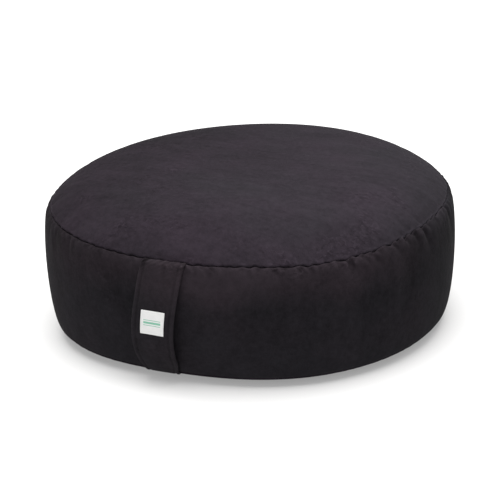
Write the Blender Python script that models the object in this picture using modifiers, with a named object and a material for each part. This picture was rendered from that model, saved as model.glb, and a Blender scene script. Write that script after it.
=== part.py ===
"""A round meditation cushion: filled body, two round panels, a carry strap and its label.

Each cloth piece is turned, or laid out flat, in a plain and even form. The function as_sewn then
moves every point to where uneven filling and hand sewing leave it, so that neighbours stay apart
by the same small gap.

The cushion stands on z = 0, with its middle at the origin. The strap is on the -Y side, and
degrees round the cushion are counted from the strap, anticlockwise as seen from above.
"""

import math
from typing import NamedTuple

import bmesh
import bpy
from mathutils import Vector

MM = 0.001

# Driving dimensions, in metres: the band is about five inches along its cloth, seam to seam
TOP_SEAM_HEIGHT = 127 * MM
TOP_SEAM_RADIUS = 195 * MM
FOOT_SEAM_HEIGHT = 9 * MM
FOOT_SEAM_RADIUS = 186.5 * MM
BAND_SWELL = 11 * MM
CROWN = 28 * MM
FOOT_ROLL = 28 * MM
CLOTH = 2.2 * MM
TURNED_EDGE = 0.9 * MM
GAP = 0.3 * MM

# A low fullness makes the band leave its seams as a round shoulder, and a high flatness keeps
# the crown level until near its rim
BAND_FULLNESS = 0.32
CROWN_FLATNESS = 6
BELLY_RADIUS = (TOP_SEAM_RADIUS + FOOT_SEAM_RADIUS) / 2 + BAND_SWELL

# The strap leans, drifts sideways between its ends, and bows off the band, most of all below the
# middle. Just above the foot seam it is drawn in a little.
STRAP_WIDTH = 42 * MM
STRAP_CLOTH = 2.6 * MM
STRAP_BOW = 6.8 * MM
STRAP_BOW_DROP = 1.6
STRAP_BOW_SHAPE = 1.3
STRAP_LEAN = 17 * MM
STRAP_DRIFT = 3.1 * MM
STRAP_DRIFT_RISE = 0.8
STRAP_FOOT_FROM = 0.86
STRAP_FOOT_ASIDE = 1.2 * MM
STRAP_FOOT_NARROWING = 0.11
LABEL_WIDTH = 23.2 * MM
LABEL_HEIGHT = 23.4 * MM
LABEL_CLOTH = 0.9 * MM
LABEL_OFFSET = 0.1 * MM
LABEL_DROP = 0.492

# How finely the cloth is divided
ROUND_STEPS = 144
BAND_ROWS = 14
CROWN_RINGS = 7
FOOT_RINGS = 3
STRAP_COLUMNS = 6
LABEL_CELLS = 4
SHARP_ANGLE = math.radians(50.0)


class Station(NamedTuple):
    """How far the sewn cushion departs from the plain form at one place round it, in mm."""

    seam_lift: float
    seam_out: float
    foot_out: float


# One row every 45 degrees, from the strap round
STATIONS = (
    Station(seam_lift=-2.5, seam_out=0.0, foot_out=-10.0),
    Station(seam_lift=-8.0, seam_out=1.5, foot_out=1.0),
    Station(seam_lift=-0.5, seam_out=-2.0, foot_out=2.5),
    Station(seam_lift=2.0, seam_out=-2.0, foot_out=0.0),
    Station(seam_lift=4.5, seam_out=1.0, foot_out=0.0),
    Station(seam_lift=3.5, seam_out=0.5, foot_out=0.5),
    Station(seam_lift=1.5, seam_out=-0.5, foot_out=-4.0),
    Station(seam_lift=-1.0, seam_out=1.5, foot_out=8.0),
)


class Gather(NamedTuple):
    """A pucker that runs down the band from the top seam: degrees round, sizes in mm."""

    around: float
    depth: float
    width: float
    run: float
    lean: float


# Gathers on the strap's side, where the seam was eased in by hand
FRONT_GATHERS = (
    Gather(around=-41.0, depth=2.5, width=7.0, run=34.0, lean=0.3),
    Gather(around=-32.5, depth=2.2, width=6.5, run=24.0, lean=0.3),
    Gather(around=-24.0, depth=1.8, width=6.5, run=20.0, lean=0.2),
    Gather(around=15.0, depth=2.5, width=6.0, run=18.0, lean=0.0),
    Gather(around=24.0, depth=2.0, width=6.0, run=16.0, lean=0.3),
    Gather(around=30.5, depth=2.5, width=6.0, run=22.0, lean=0.5),
    Gather(around=40.0, depth=1.5, width=6.0, run=20.0, lean=0.4),
    Gather(around=50.0, depth=3.0, width=6.5, run=26.0, lean=0.6),
    Gather(around=57.5, depth=3.0, width=6.5, run=28.0, lean=0.6),
    Gather(around=65.5, depth=3.2, width=6.5, run=30.0, lean=0.6),
    Gather(around=73.5, depth=3.2, width=6.5, run=28.0, lean=0.5),
    Gather(around=79.0, depth=5.0, width=7.5, run=34.0, lean=0.2),
    Gather(around=96.0, depth=4.0, width=7.5, run=40.0, lean=0.3),
)

# The rest of the top seam and the whole foot seam are eased in evenly
BACK_FIRST = 112.0
BACK_LAST = 304.0
BACK_COUNT = 13
BACK_GATHER = Gather(around=0.0, depth=2.4, width=7.0, run=30.0, lean=0.3)
FOOT_GATHERS = 20
FOOT_GATHER_DEPTH = 1.6
FOOT_GATHER_RUN = 26.0

# No gather reaches the stitching. Each pushes up a low ridge on both sides and pulls the
# panel's rim down a little. Sizes in mm, or shares of the gather's own depth or width. The cloth
# takes up a part of the depth that each gather has in the seam.
GATHER_SHARE = 0.65
STITCH_MARGIN = 1.5
RIDGE_HEIGHT = 0.45
RIDGE_PLACE = 1.7
RIDGE_WIDTH = 0.8
PANEL_DIP = 0.3
PANEL_RUN = 28.0
PANEL_REACH = 60.0


class Finish(NamedTuple):
    """A cloth's linear colour, roughness and metallic value."""

    colour: tuple
    roughness: float
    metallic: float


BAND_SUEDE = Finish(colour=(0.0136, 0.0116, 0.0140), roughness=0.92, metallic=0.0)
PANEL_SUEDE = Finish(colour=(0.0159, 0.0129, 0.0167), roughness=0.92, metallic=0.0)
STRAP_SUEDE = Finish(colour=(0.0161, 0.0133, 0.0161), roughness=0.92, metallic=0.0)
WHITE_TAPE = Finish(colour=(0.74, 0.74, 0.73), roughness=0.75, metallic=0.0)


def all_gathers():
    """The front's own gathers, and the even ones round the back."""
    spacing = (BACK_LAST - BACK_FIRST) / (BACK_COUNT - 1)
    back = [BACK_GATHER._replace(around=BACK_FIRST + spacing * i) for i in range(BACK_COUNT)]
    return list(FRONT_GATHERS) + back


GATHERS = all_gathers()


def station_value(column, degrees):
    """A column of STATIONS at any place round the cushion, on a smooth closed curve, in metres."""
    count = len(STATIONS)
    place = (degrees % 360.0) * count / 360.0
    first = int(place)
    f = place - first
    before, here, there, after = (getattr(STATIONS[(first + k) % count], column) for k in (-1, 0, 1, 2))
    slope = there - before
    bend = 2 * before - 5 * here + 4 * there - after
    twist = 3 * (here - there) + after - before
    return (here + 0.5 * f * (slope + f * (bend + f * twist))) * MM


def mm_along_seam(degrees, other):
    """The shorter way round the band from other to degrees, in mm."""
    turn = (degrees - other + 180.0) % 360.0 - 180.0
    return math.radians(turn) * BELLY_RADIUS / MM


def dent_across(side, width):
    """A valley one deep at side 0, with a low ridge on each side of it."""
    u = side / width
    ridge = (abs(u) - RIDGE_PLACE) / RIDGE_WIDTH
    return math.exp(-u * u) - RIDGE_HEIGHT * math.exp(-ridge * ridge)


def dent_along(distance, run):
    """Nothing at the stitching, deepest at a quarter of the run, then dying away."""
    u = 4.0 * max(0.0, distance - STITCH_MARGIN) / run
    return u * math.exp(1.0 - u)


def gather_depths(degrees, radius, height):
    """How far the gathers pull a point in towards the middle, and down, in metres."""
    below = (TOP_SEAM_HEIGHT - height) / MM
    inside = (TOP_SEAM_RADIUS - radius) / MM
    on_panel = dent_along(inside, PANEL_RUN) * max(0.0, 1.0 - below / PANEL_REACH)
    pulled_in = 0.0
    pulled_down = 0.0
    for gather in GATHERS:
        along_seam = mm_along_seam(degrees, gather.around)
        side = along_seam - gather.lean * max(below, 0.0)
        depth = GATHER_SHARE * gather.depth
        pulled_in += depth * dent_across(side, gather.width) * dent_along(below, gather.run)
        pulled_down += PANEL_DIP * depth * dent_across(along_seam, gather.width) * on_panel
    above = (height - FOOT_SEAM_HEIGHT) / MM
    wave = max(0.0, math.cos(math.radians(degrees) * FOOT_GATHERS)) ** 3
    pulled_in += FOOT_GATHER_DEPTH * wave * dent_along(above, FOOT_GATHER_RUN)
    return pulled_in * MM, pulled_down * MM


def as_sewn(point):
    """The place that a point of the plain form takes on the filled and sewn cushion."""
    radius = math.hypot(point.x, point.y)
    if radius < MM:
        return point.copy()
    degrees = math.degrees(math.atan2(point.x, -point.y))
    band_height = TOP_SEAM_HEIGHT - FOOT_SEAM_HEIGHT
    down = min(1.0, max(0.0, (TOP_SEAM_HEIGHT - point.z) / band_height))
    seam_radius = TOP_SEAM_RADIUS + (FOOT_SEAM_RADIUS - TOP_SEAM_RADIUS) * down
    reach = min(1.0, radius / seam_radius)
    out = station_value("seam_out", degrees) * (1 - down) + station_value("foot_out", degrees) * down
    up = station_value("seam_lift", degrees) * (1 - down)
    pulled_in, pulled_down = gather_depths(degrees, radius, point.z)
    new_radius = radius + out * reach - pulled_in * reach**8
    new_height = point.z + up * reach**2 - pulled_down
    scale = new_radius / radius
    return Vector((point.x * scale, point.y * scale, new_height))


def crown_section(height_above):
    """Rings of the crown, from the middle to the seam, a height above the panel's underside."""
    rings = []
    for i in range(CROWN_RINGS + 1):
        share = math.sin(math.pi / 2 * i / CROWN_RINGS)
        height = TOP_SEAM_HEIGHT + CROWN * (1.0 - share**CROWN_FLATNESS)
        rings.append((TOP_SEAM_RADIUS * share, height + height_above))
    del rings[1]
    return rings


def foot_section(height_above):
    """Rings of the foot, from the seam to the middle, a height above the bottom panel's underside."""
    lip = FOOT_SEAM_HEIGHT - CLOTH
    rings = []
    for i in range(FOOT_RINGS + 1):
        share = 1.0 - i / FOOT_RINGS
        rings.append((FOOT_SEAM_RADIUS - FOOT_ROLL * (1.0 - share), lip * share**2 + height_above))
    rings.append((0.0, height_above))
    return rings


def band_point(down):
    """Radius and height on the band, from 0 at the top seam to 1 at the foot seam."""
    top = TOP_SEAM_HEIGHT - GAP
    foot = FOOT_SEAM_HEIGHT + GAP
    swell = BAND_SWELL * math.sin(math.pi * down) ** BAND_FULLNESS
    radius = TOP_SEAM_RADIUS + (FOOT_SEAM_RADIUS - TOP_SEAM_RADIUS) * down + swell
    return radius, top + (foot - top) * down


def band_shares():
    """Shares of the band's height, closer together at its two round shoulders."""
    return [(1.0 - math.cos(math.pi * i / BAND_ROWS)) / 2 for i in range(BAND_ROWS + 1)]


def band_outward(down):
    """Unit direction out of the band, as radius and height, in its section."""
    step = 0.004
    above = band_point(max(0.0, down - step))
    below = band_point(min(1.0, down + step))
    run = Vector((below[0] - above[0], below[1] - above[1])).normalized()
    return -run.y, run.x


def strap_point(across, down, stand_off):
    """A point over the band: across from the strap's middle line, and off its inner face."""
    radius, height = band_point(down)
    out_radius, out_height = band_outward(down)
    bow = math.sin(math.pi * down**STRAP_BOW_DROP) ** STRAP_BOW_SHAPE
    flat_across = across**2 / (2 * BELLY_RADIUS)
    clear = GAP + (STRAP_BOW + flat_across) * bow + stand_off
    end = max(0.0, (down - STRAP_FOOT_FROM) / (1.0 - STRAP_FOOT_FROM))
    drawn_in = end * end * (3.0 - 2.0 * end)
    sweep = STRAP_LEAN * (0.5 - down) - STRAP_DRIFT * math.sin(math.pi * down**STRAP_DRIFT_RISE)
    sweep -= STRAP_FOOT_ASIDE * drawn_in
    angle = (sweep + across * (1.0 - STRAP_FOOT_NARROWING * drawn_in)) / BELLY_RADIUS
    radius += out_radius * clear
    height += out_height * clear
    return Vector((radius * math.sin(angle), -radius * math.cos(angle), height))


def make_material(name, finish):
    """A plain cloth material."""
    material = bpy.data.materials.new(name)
    material.use_nodes = True
    shader = material.node_tree.nodes["Principled BSDF"]
    shader.inputs["Base Color"].default_value = (*finish.colour, 1.0)
    shader.inputs["Roughness"].default_value = finish.roughness
    shader.inputs["Metallic"].default_value = finish.metallic
    material.diffuse_color = (*finish.colour, 1.0)
    return material


def add_piece(name, mesh, finish, collection):
    """An object of its own, with its own material."""
    piece = bpy.data.objects.new(name, mesh)
    mesh.materials.append(make_material(name + "_cloth", finish))
    collection.objects.link(piece)
    return piece


def freeze(piece):
    """Replace the piece's mesh by what its modifiers make of it."""
    graph = bpy.context.evaluated_depsgraph_get()
    mesh = bpy.data.meshes.new_from_object(piece.evaluated_get(graph))
    mesh.name = piece.name
    piece.modifiers.clear()
    piece.data = mesh


def turns_outwards(start, end):
    """True for a line that turns anticlockwise as it runs away from the Z axis."""
    turn = start.x * end.y - start.y * end.x
    return turn * (math.hypot(end.x, end.y) - math.hypot(start.x, start.y)) > 0.0


def split_quads(mesh):
    """Split every quad along the same diagonal, so that two sheets bend along the same lines."""
    shape = bmesh.new()
    shape.from_mesh(mesh)
    for face in list(shape.faces):
        if len(face.verts) == 4:
            first = 0 if turns_outwards(face.verts[0].co, face.verts[2].co) else 1
            bmesh.utils.face_split(face, face.verts[first], face.verts[first + 2])
    shape.to_mesh(mesh)
    shape.free()


def sew(piece):
    """Move a plain piece's points to where they lie on the sewn cushion, and shade it smooth."""
    split_quads(piece.data)
    for vertex in piece.data.vertices:
        vertex.co = as_sewn(vertex.co)
    piece.data.shade_smooth()
    piece.data.set_sharp_from_angle(angle=SHARP_ANGLE)


def turned_piece(name, section, finish, collection):
    """Turn a section about Z, from its top middle round to its bottom middle, and sew it."""
    mesh = bpy.data.meshes.new(name)
    points = [(radius, 0.0, height) for radius, height in section]
    mesh.from_pydata(points, [(i, i + 1) for i in range(len(points) - 1)], [])
    piece = add_piece(name, mesh, finish, collection)
    screw = piece.modifiers.new("turn", "SCREW")
    screw.steps = ROUND_STEPS
    screw.render_steps = ROUND_STEPS
    screw.use_merge_vertices = True
    screw.merge_threshold = 0.01 * MM
    freeze(piece)
    sew(piece)


def laid_piece(name, cells, place, thickness, finish, collection):
    """Lay a flat grid of cloth over the band by a function, thicken it outwards and sew it."""
    flat = bmesh.new()
    bmesh.ops.create_grid(flat, x_segments=cells[0], y_segments=cells[1], size=0.5)
    for vertex in flat.verts:
        vertex.co = place(vertex.co.x + 0.5, 0.5 - vertex.co.y)
    if sum(face.calc_area() * face.normal.y for face in flat.faces) > 0.0:
        bmesh.ops.reverse_faces(flat, faces=flat.faces)
    mesh = bpy.data.meshes.new(name)
    flat.to_mesh(mesh)
    flat.free()
    piece = add_piece(name, mesh, finish, collection)
    thicken = piece.modifiers.new("cloth", "SOLIDIFY")
    thicken.thickness = thickness
    thicken.offset = 1.0
    turn_edge = piece.modifiers.new("turned_edge", "BEVEL")
    turn_edge.width = thickness / 4
    turn_edge.segments = 1
    turn_edge.limit_method = "ANGLE"
    turn_edge.angle_limit = SHARP_ANGLE
    freeze(piece)
    sew(piece)


def cushion_body(collection):
    """The filling in its skin. Its side is the band."""
    band = [band_point(share) for share in band_shares()]
    section = crown_section(-GAP)[:-1] + band + foot_section(CLOTH + GAP)[1:]
    turned_piece("cushion", section, BAND_SUEDE, collection)


def top_panel(collection):
    """The round cloth on the crown, its edge turned in at the top seam."""
    rim = [
        (TOP_SEAM_RADIUS - TURNED_EDGE, TOP_SEAM_HEIGHT + CLOTH),
        (TOP_SEAM_RADIUS, TOP_SEAM_HEIGHT + CLOTH / 2),
    ]
    section = crown_section(CLOTH)[:-1] + rim + crown_section(0.0)[::-1]
    turned_piece("top_panel", section, PANEL_SUEDE, collection)


def bottom_panel(collection):
    """The round cloth underneath. It lies flat, and curls up to the foot seam."""
    rim = [
        (FOOT_SEAM_RADIUS, FOOT_SEAM_HEIGHT - CLOTH / 2),
        (FOOT_SEAM_RADIUS - TURNED_EDGE, FOOT_SEAM_HEIGHT - CLOTH),
    ]
    section = foot_section(CLOTH)[::-1] + rim + foot_section(0.0)[1:]
    turned_piece("bottom_panel", section, PANEL_SUEDE, collection)


def handle(collection):
    """The carry strap, held in both seams and bowed off the band between them."""
    shares = band_shares()

    def place(across, along):
        down = shares[round(along * BAND_ROWS)]
        return strap_point((across - 0.5) * STRAP_WIDTH, down, 0.0)

    laid_piece("handle", (STRAP_COLUMNS, BAND_ROWS), place, STRAP_CLOTH, STRAP_SUEDE, collection)


def label(collection):
    """A small square of woven tape on the strap's outer face."""
    share = LABEL_HEIGHT / (TOP_SEAM_HEIGHT - FOOT_SEAM_HEIGHT)

    def place(across, along):
        down = LABEL_DROP + (along - 0.5) * share
        return strap_point(LABEL_OFFSET + (across - 0.5) * LABEL_WIDTH, down, STRAP_CLOTH + GAP)

    laid_piece("label", (LABEL_CELLS, LABEL_CELLS), place, LABEL_CLOTH, WHITE_TAPE, collection)


def main():
    """Clear the scene and make the cushion."""
    for old in list(bpy.data.objects):
        bpy.data.objects.remove(old, do_unlink=True)
    collection = bpy.data.collections.new("meditation_cushion")
    bpy.context.scene.collection.children.link(collection)
    for make in (cushion_body, top_panel, bottom_panel, handle, label):
        make(collection)


main()
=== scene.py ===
"""Dressed model of a round meditation cushion in charcoal microsuede.

The cushion's skin is laid out as one closed grid of cloth, in the form its maker cut and sewed it,
with its gathers. A cloth simulation then fills it, which adds small uneven swells beside the seams.
Short creases, the stitching lines and the lip of the band follow. Both round panels are offset from
that skin. The strap, the label and their stitches lie on it.
"""

import logging
import math
from dataclasses import dataclass, field, replace
from enum import Enum
from typing import Any, Callable, Sequence

import bmesh
import bpy
import numpy as np
from mathutils import Matrix, Vector


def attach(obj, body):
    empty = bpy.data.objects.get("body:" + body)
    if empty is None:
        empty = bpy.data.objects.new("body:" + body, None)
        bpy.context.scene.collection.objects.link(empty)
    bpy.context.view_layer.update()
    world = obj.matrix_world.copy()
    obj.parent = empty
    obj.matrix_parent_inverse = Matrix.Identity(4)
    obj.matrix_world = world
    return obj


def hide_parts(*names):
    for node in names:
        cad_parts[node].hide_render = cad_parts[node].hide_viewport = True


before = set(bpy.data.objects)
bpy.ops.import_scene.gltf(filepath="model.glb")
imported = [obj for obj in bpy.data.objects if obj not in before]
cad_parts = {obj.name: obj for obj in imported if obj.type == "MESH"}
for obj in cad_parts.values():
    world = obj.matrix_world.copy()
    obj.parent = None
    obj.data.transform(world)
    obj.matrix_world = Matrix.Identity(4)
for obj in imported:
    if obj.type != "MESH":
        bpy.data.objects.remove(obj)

MM = 0.001
BODY = "root"
LOG = logging.getLogger("cushion")


# The sewn form


@dataclass(frozen=True)
class Station:
    """How far the sewn cushion departs from the plain form at one place round it, in mm."""

    seam_lift: float
    seam_out: float
    foot_out: float


@dataclass(frozen=True)
class Gather:
    """A pucker that runs away from a seam: degrees round, sizes in mm."""

    around: float
    depth: float
    width: float
    run: float
    lean: float


@dataclass(frozen=True)
class Spot:
    """Where round the cushion something is strongest, in degrees, how far it spreads, how strong it is."""

    around: float
    spread: float
    strength: float = 1.0

    def at(self, degrees: np.ndarray) -> np.ndarray:
        """Its strength at places round the cushion."""
        return self.strength * np.exp(-(((degrees - self.around) / self.spread) ** 2))


def fading(distance: np.ndarray, reach: float | np.ndarray) -> np.ndarray:
    """One at a line, dying away over a reach on both sides of it."""
    return np.exp(-((distance / reach) ** 2))


# One row every 45 degrees, from the strap round. The values come from a least-squares fit to the
# photo's outline and top seam, rounded to half a millimetre, and two of them were changed
STATIONS = (
    Station(-2.5, 0.0, -10.0),
    Station(-8.0, 1.5, 1.0),
    Station(-0.5, -2.0, 2.5),
    Station(2.0, -2.0, 0.0),
    Station(4.5, 1.0, 0.0),
    Station(3.5, 0.5, 0.5),
    Station(1.5, -0.5, -4.0),
    Station(-1.0, 1.5, 8.0),
)

# Set at the dents that show in the photo, from the left round to the right
FRONT_GATHERS = (
    Gather(-41.0, 2.5, 7.0, 34.0, 0.3),
    Gather(-32.5, 2.2, 6.5, 24.0, 0.3),
    Gather(-24.0, 1.8, 6.5, 20.0, 0.2),
    Gather(15.0, 2.5, 6.0, 18.0, 0.0),
    Gather(24.0, 2.0, 6.0, 16.0, 0.3),
    Gather(30.5, 2.5, 6.0, 22.0, 0.5),
    Gather(40.0, 1.5, 6.0, 20.0, 0.4),
    Gather(50.0, 3.0, 6.5, 26.0, 0.6),
    Gather(57.5, 3.0, 6.5, 28.0, 0.6),
    Gather(65.5, 3.2, 6.5, 30.0, 0.6),
    Gather(73.5, 3.2, 6.5, 28.0, 0.5),
    Gather(79.0, 5.0, 7.5, 34.0, 0.2),
    Gather(96.0, 4.0, 7.5, 40.0, 0.3),
)

BACK_GATHER = Gather(around=0.0, depth=2.4, width=7.0, run=30.0, lean=0.3)
BACK_FROM = 112.0
BACK_TO = 304.0
BACK_COUNT = 13


@dataclass
class SewnForm:
    """The form of the filled and sewn cushion, in metres, on the CAD's own numbers.

    The stitching's margin and the gathers' depths and runs are in mm.
    """

    top_height: float = 127 * MM
    top_radius: float = 195 * MM
    foot_height: float = 9 * MM
    foot_radius: float = 186.5 * MM
    swell: float = 11 * MM
    fullness: float = 0.32
    crown: float = 28 * MM
    crown_flatness: int = 6
    foot_roll: float = 28 * MM
    cloth: float = 2.2 * MM
    gap: float = 0.3 * MM
    foot_gathers: int = 20
    foot_gather_depth: float = 1.6
    foot_gather_run: float = 26.0
    stitch_margin: float = 1.5
    gather_share: float = 0.26
    foot_gather_sharpness: int = 3
    gathered_edge: int = 8
    panel_gather_share: float = 0.3
    panel_gather_run: float = 28.0
    panel_gather_reach: float = 60.0
    ridge_height: float = 0.45
    ridge_place: float = 1.7
    ridge_width: float = 0.8
    strap_stand: float = 6.8 * MM
    strap_bow: tuple[float, float] = (1.6, 1.3)
    strap_sweep: float = 17 * MM
    strap_curve: float = 3.1 * MM
    strap_curve_low: float = 0.8
    strap_foot_from: float = 0.86
    strap_foot_over: float = 0.14
    strap_foot_aside: float = 1.2 * MM
    strap_foot_narrowing: float = 0.11
    slope_step: float = 0.004
    gathers: tuple[Gather, ...] = field(default_factory=tuple)

    def __post_init__(self) -> None:
        """Add the even gathers of the far side to those of the front."""
        if not self.gathers:
            places = np.linspace(BACK_FROM, BACK_TO, BACK_COUNT)
            self.gathers = FRONT_GATHERS + tuple(replace(BACK_GATHER, around=around) for around in places)

    @property
    def belly_radius(self) -> float:
        """Radius of the band where it is widest."""
        return (self.top_radius + self.foot_radius) / 2 + self.swell

    def station(self, column: str, degrees: np.ndarray) -> np.ndarray:
        """A column of STATIONS on a smooth closed curve.

        Args:
            column: the field of Station to read.
            degrees: places round the cushion.

        Returns:
            The departures there, in metres.
        """
        values = np.array([getattr(row, column) for row in STATIONS])
        count = len(values)
        place = np.mod(degrees, 360.0) * count / 360.0
        first = np.floor(place).astype(int)
        f = place - first
        before, here, there, after = (values[(first + k) % count] for k in (-1, 0, 1, 2))
        bend = 2 * before - 5 * here + 4 * there - after
        twist = 3 * (here - there) + after - before
        return (here + 0.5 * f * (there - before + f * (bend + f * twist))) * MM

    def dent_across(self, side: np.ndarray, width: float) -> np.ndarray:
        """A valley one deep at side 0, with a low ridge on each side of it."""
        u = side / width
        return np.exp(-u * u) - self.ridge_height * fading(np.abs(u) - self.ridge_place, self.ridge_width)

    def dent_along(self, distance: np.ndarray, run: float) -> np.ndarray:
        """Nothing at the stitching, deepest at a quarter of the run, then dying away."""
        u = 4.0 * np.maximum(0.0, distance - self.stitch_margin) / run
        return u * np.exp(1.0 - u)

    def as_sewn(self, radius: np.ndarray, degrees: np.ndarray, height: np.ndarray) -> np.ndarray:
        """Move points of the plain form to where filling and sewing leave them.

        Args:
            radius: distances from the cushion's axis.
            degrees: places round it, counted from the strap.
            height: heights above the floor.

        Returns:
            The points' coordinates, with a last axis of three.
        """
        drop = self.top_height - self.foot_height
        down = np.clip((self.top_height - height) / drop, 0.0, 1.0)
        seam_radius = self.top_radius + (self.foot_radius - self.top_radius) * down
        reach = np.minimum(1.0, radius / seam_radius)
        seam_out = self.station("seam_out", degrees)
        foot_out = self.station("foot_out", degrees)
        out = seam_out * (1 - down) + foot_out * down
        up = self.station("seam_lift", degrees) * (1 - down)
        below = (self.top_height - height) / MM
        inside = (self.top_radius - radius) / MM
        on_panel = self.dent_along(inside, self.panel_gather_run)
        on_panel = on_panel * np.maximum(0.0, 1.0 - below / self.panel_gather_reach)
        pulled_in = np.zeros_like(radius)
        pulled_down = np.zeros_like(radius)
        for gather in self.gathers:
            turn = np.mod(degrees - gather.around + 180.0, 360.0) - 180.0
            along = np.radians(turn) * self.belly_radius / MM
            side = along - gather.lean * np.maximum(below, 0.0)
            depth, width = gather.depth, gather.width
            pulled_in += depth * self.dent_across(side, width) * self.dent_along(below, gather.run)
            pulled_down += self.panel_gather_share * depth * self.dent_across(along, width) * on_panel
        above = (height - self.foot_height) / MM
        wave = np.maximum(0.0, np.cos(np.radians(degrees) * self.foot_gathers)) ** self.foot_gather_sharpness
        pulled_in += self.foot_gather_depth * wave * self.dent_along(above, self.foot_gather_run)
        new_radius = radius + out * reach - self.gather_share * pulled_in * MM * reach**self.gathered_edge
        new_height = height + up * reach**2 - self.gather_share * pulled_down * MM
        angle = np.radians(degrees)
        return np.stack([new_radius * np.sin(angle), -new_radius * np.cos(angle), new_height], -1)

    def band(self, down: np.ndarray) -> np.ndarray:
        """Radius and height on the plain band.

        Args:
            down: from 0 at the top seam to 1 at the foot seam.

        Returns:
            The two sizes in metres, on a last axis of two.
        """
        top = self.top_height - self.gap
        foot = self.foot_height + self.gap
        swell = self.swell * np.abs(np.sin(np.pi * down)) ** self.fullness
        radius = self.top_radius + (self.foot_radius - self.top_radius) * down + swell
        return np.stack([radius, top + (foot - top) * down], -1)

    def crown_curve(self, share: np.ndarray) -> np.ndarray:
        """Radius and height under the top panel, from 0 in the middle to 1 at the seam."""
        height = self.top_height + self.crown * (1.0 - share**self.crown_flatness) - self.gap
        return np.stack([self.top_radius * share, height], -1)

    def foot_curve(self, share: np.ndarray) -> np.ndarray:
        """Radius and height over the bottom panel.

        Args:
            share: from 0 at the seam to 1 in the middle.

        Returns:
            The two sizes in metres, on a last axis of two.
        """
        radius = self.foot_radius * (1.0 - share)
        rise = np.clip(1.0 - self.foot_radius * share / self.foot_roll, 0.0, 1.0)
        height = (self.foot_height - self.cloth) * rise**2 + self.cloth + self.gap
        return np.stack([radius, height], -1)

    def strap_point(self, across: np.ndarray, down: np.ndarray, off: np.ndarray) -> np.ndarray:
        """Points over the band, where the strap lies.

        Args:
            across: distances from the strap's middle line.
            down: from 0 at the top seam to 1 at the foot seam.
            off: distances from the strap's inner face.

        Returns:
            The points' coordinates.
        """
        step = self.slope_step
        section = self.band(down)
        run = self.band(np.minimum(1.0, down + step)) - self.band(np.maximum(0.0, down - step))
        run /= np.linalg.norm(run, axis=-1, keepdims=True)
        bow_low, bow_full = self.strap_bow
        bow = np.sin(np.pi * down**bow_low).clip(0.0) ** bow_full
        clear = self.gap + (self.strap_stand + across**2 / (2 * self.belly_radius)) * bow + off
        radius = section[..., 0] - run[..., 1] * clear
        height = section[..., 1] + run[..., 0] * clear
        end = ((down - self.strap_foot_from) / self.strap_foot_over).clip(0.0)
        drawn_in = end * end * (3.0 - 2.0 * end)
        curve = self.strap_curve * np.sin(np.pi * down**self.strap_curve_low)
        sweep = self.strap_sweep * (0.5 - down) - curve - self.strap_foot_aside * drawn_in
        narrowed = across * (1.0 - self.strap_foot_narrowing * drawn_in)
        degrees = np.degrees((sweep + narrowed) / self.belly_radius)
        return self.as_sewn(radius, degrees, height)


# Meshes


# Values on the cloth's points: painted shade and light together with the nap's wear, and how crushed the nap
# is.
PAINTED_SHADE_AND_WEAR = "painted_shade_and_wear"
CRUSH = "crush"
POINT_VALUES = (PAINTED_SHADE_AND_WEAR, CRUSH)
TINY = 1e-9
MOST_HALVINGS = 4
MOST_THINNED = 16


def deselect_all() -> None:
    """Leave edit mode and deselect every object."""
    if bpy.context.object and bpy.context.object.mode != "OBJECT":
        bpy.ops.object.mode_set(mode="OBJECT")
    bpy.ops.object.select_all(action="DESELECT")


def make_active(piece: bpy.types.Object) -> None:
    """Select one object alone and make it the active one.

    Args:
        piece: the object.
    """
    deselect_all()
    piece.select_set(True)
    bpy.context.view_layer.objects.active = piece


def apply_modifiers(piece: bpy.types.Object) -> None:
    """Apply every modifier of a piece, in order.

    Args:
        piece: the piece.
    """
    make_active(piece)
    for modifier in list(piece.modifiers):
        bpy.ops.object.modifier_apply(modifier=modifier.name)


def unit(vectors: np.ndarray) -> np.ndarray:
    """Vectors of length one."""
    return vectors / np.maximum(np.linalg.norm(vectors, axis=-1, keepdims=True), 1e-12)


def grid_normals(grid: np.ndarray) -> np.ndarray:
    """Unit normals of a grid of rings that close round their second axis.

    Args:
        grid: points by ring and by column, each ring closed, anticlockwise from above on the crown.

    Returns:
        Normals by ring and by column, outward where the rings run from the top down.
    """
    along = np.gradient(grid, axis=0)
    round_ring = np.roll(grid, -1, axis=1) - np.roll(grid, 1, axis=1)
    return unit(np.cross(along, round_ring))


def graded_steps(length: float, fine: float, coarse: float, growth: float = 1.5) -> np.ndarray:
    """Distances from 0 to a length, in steps that grow from fine to coarse.

    Args:
        length: the whole distance.
        fine: the first step.
        coarse: the largest step.
        growth: how much each step is longer than the one before.

    Returns:
        The distances, first 0 and last the length.
    """
    marks = [0.0]
    step = fine
    while marks[-1] + growth * step < length:
        marks.append(marks[-1] + step)
        step = min(step * growth, coarse)
    return np.array(marks + [length])


def at_distances(curve: np.ndarray, distances: np.ndarray) -> np.ndarray:
    """Points of a dense curve at distances along it.

    Args:
        curve: the curve's points.
        distances: how far along each wanted point lies.

    Returns:
        The wanted points.
    """
    lengths = np.linalg.norm(np.diff(curve, axis=0), axis=1)
    along = np.concatenate([[0.0], np.cumsum(lengths)])
    return np.stack([np.interp(distances, along, curve[:, k]) for k in range(2)], -1)


def curve_length(curve: np.ndarray) -> float:
    """Length of a dense curve."""
    return float(np.linalg.norm(np.diff(curve, axis=0), axis=1).sum())


def refined(values: np.ndarray, closed: bool = False) -> np.ndarray:
    """Values with a new one between each two along the first axis, on a smooth curve.

    Args:
        values: the values to refine.
        closed: whether the last is followed by the first.

    Returns:
        The old and the new values in turn.
    """
    if closed:
        wide = np.concatenate([values[-1:], values, values[:2]])
    else:
        wide = np.concatenate([2 * values[:1] - values[1:2], values, 2 * values[-1:] - values[-2:-1]])
    middle = (9 * (wide[1:-2] + wide[2:-1]) - wide[:-3] - wide[3:]) / 16
    both = np.empty((len(values) + len(middle), *values.shape[1:]))
    both[0::2] = values
    both[1::2] = middle
    return both


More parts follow.
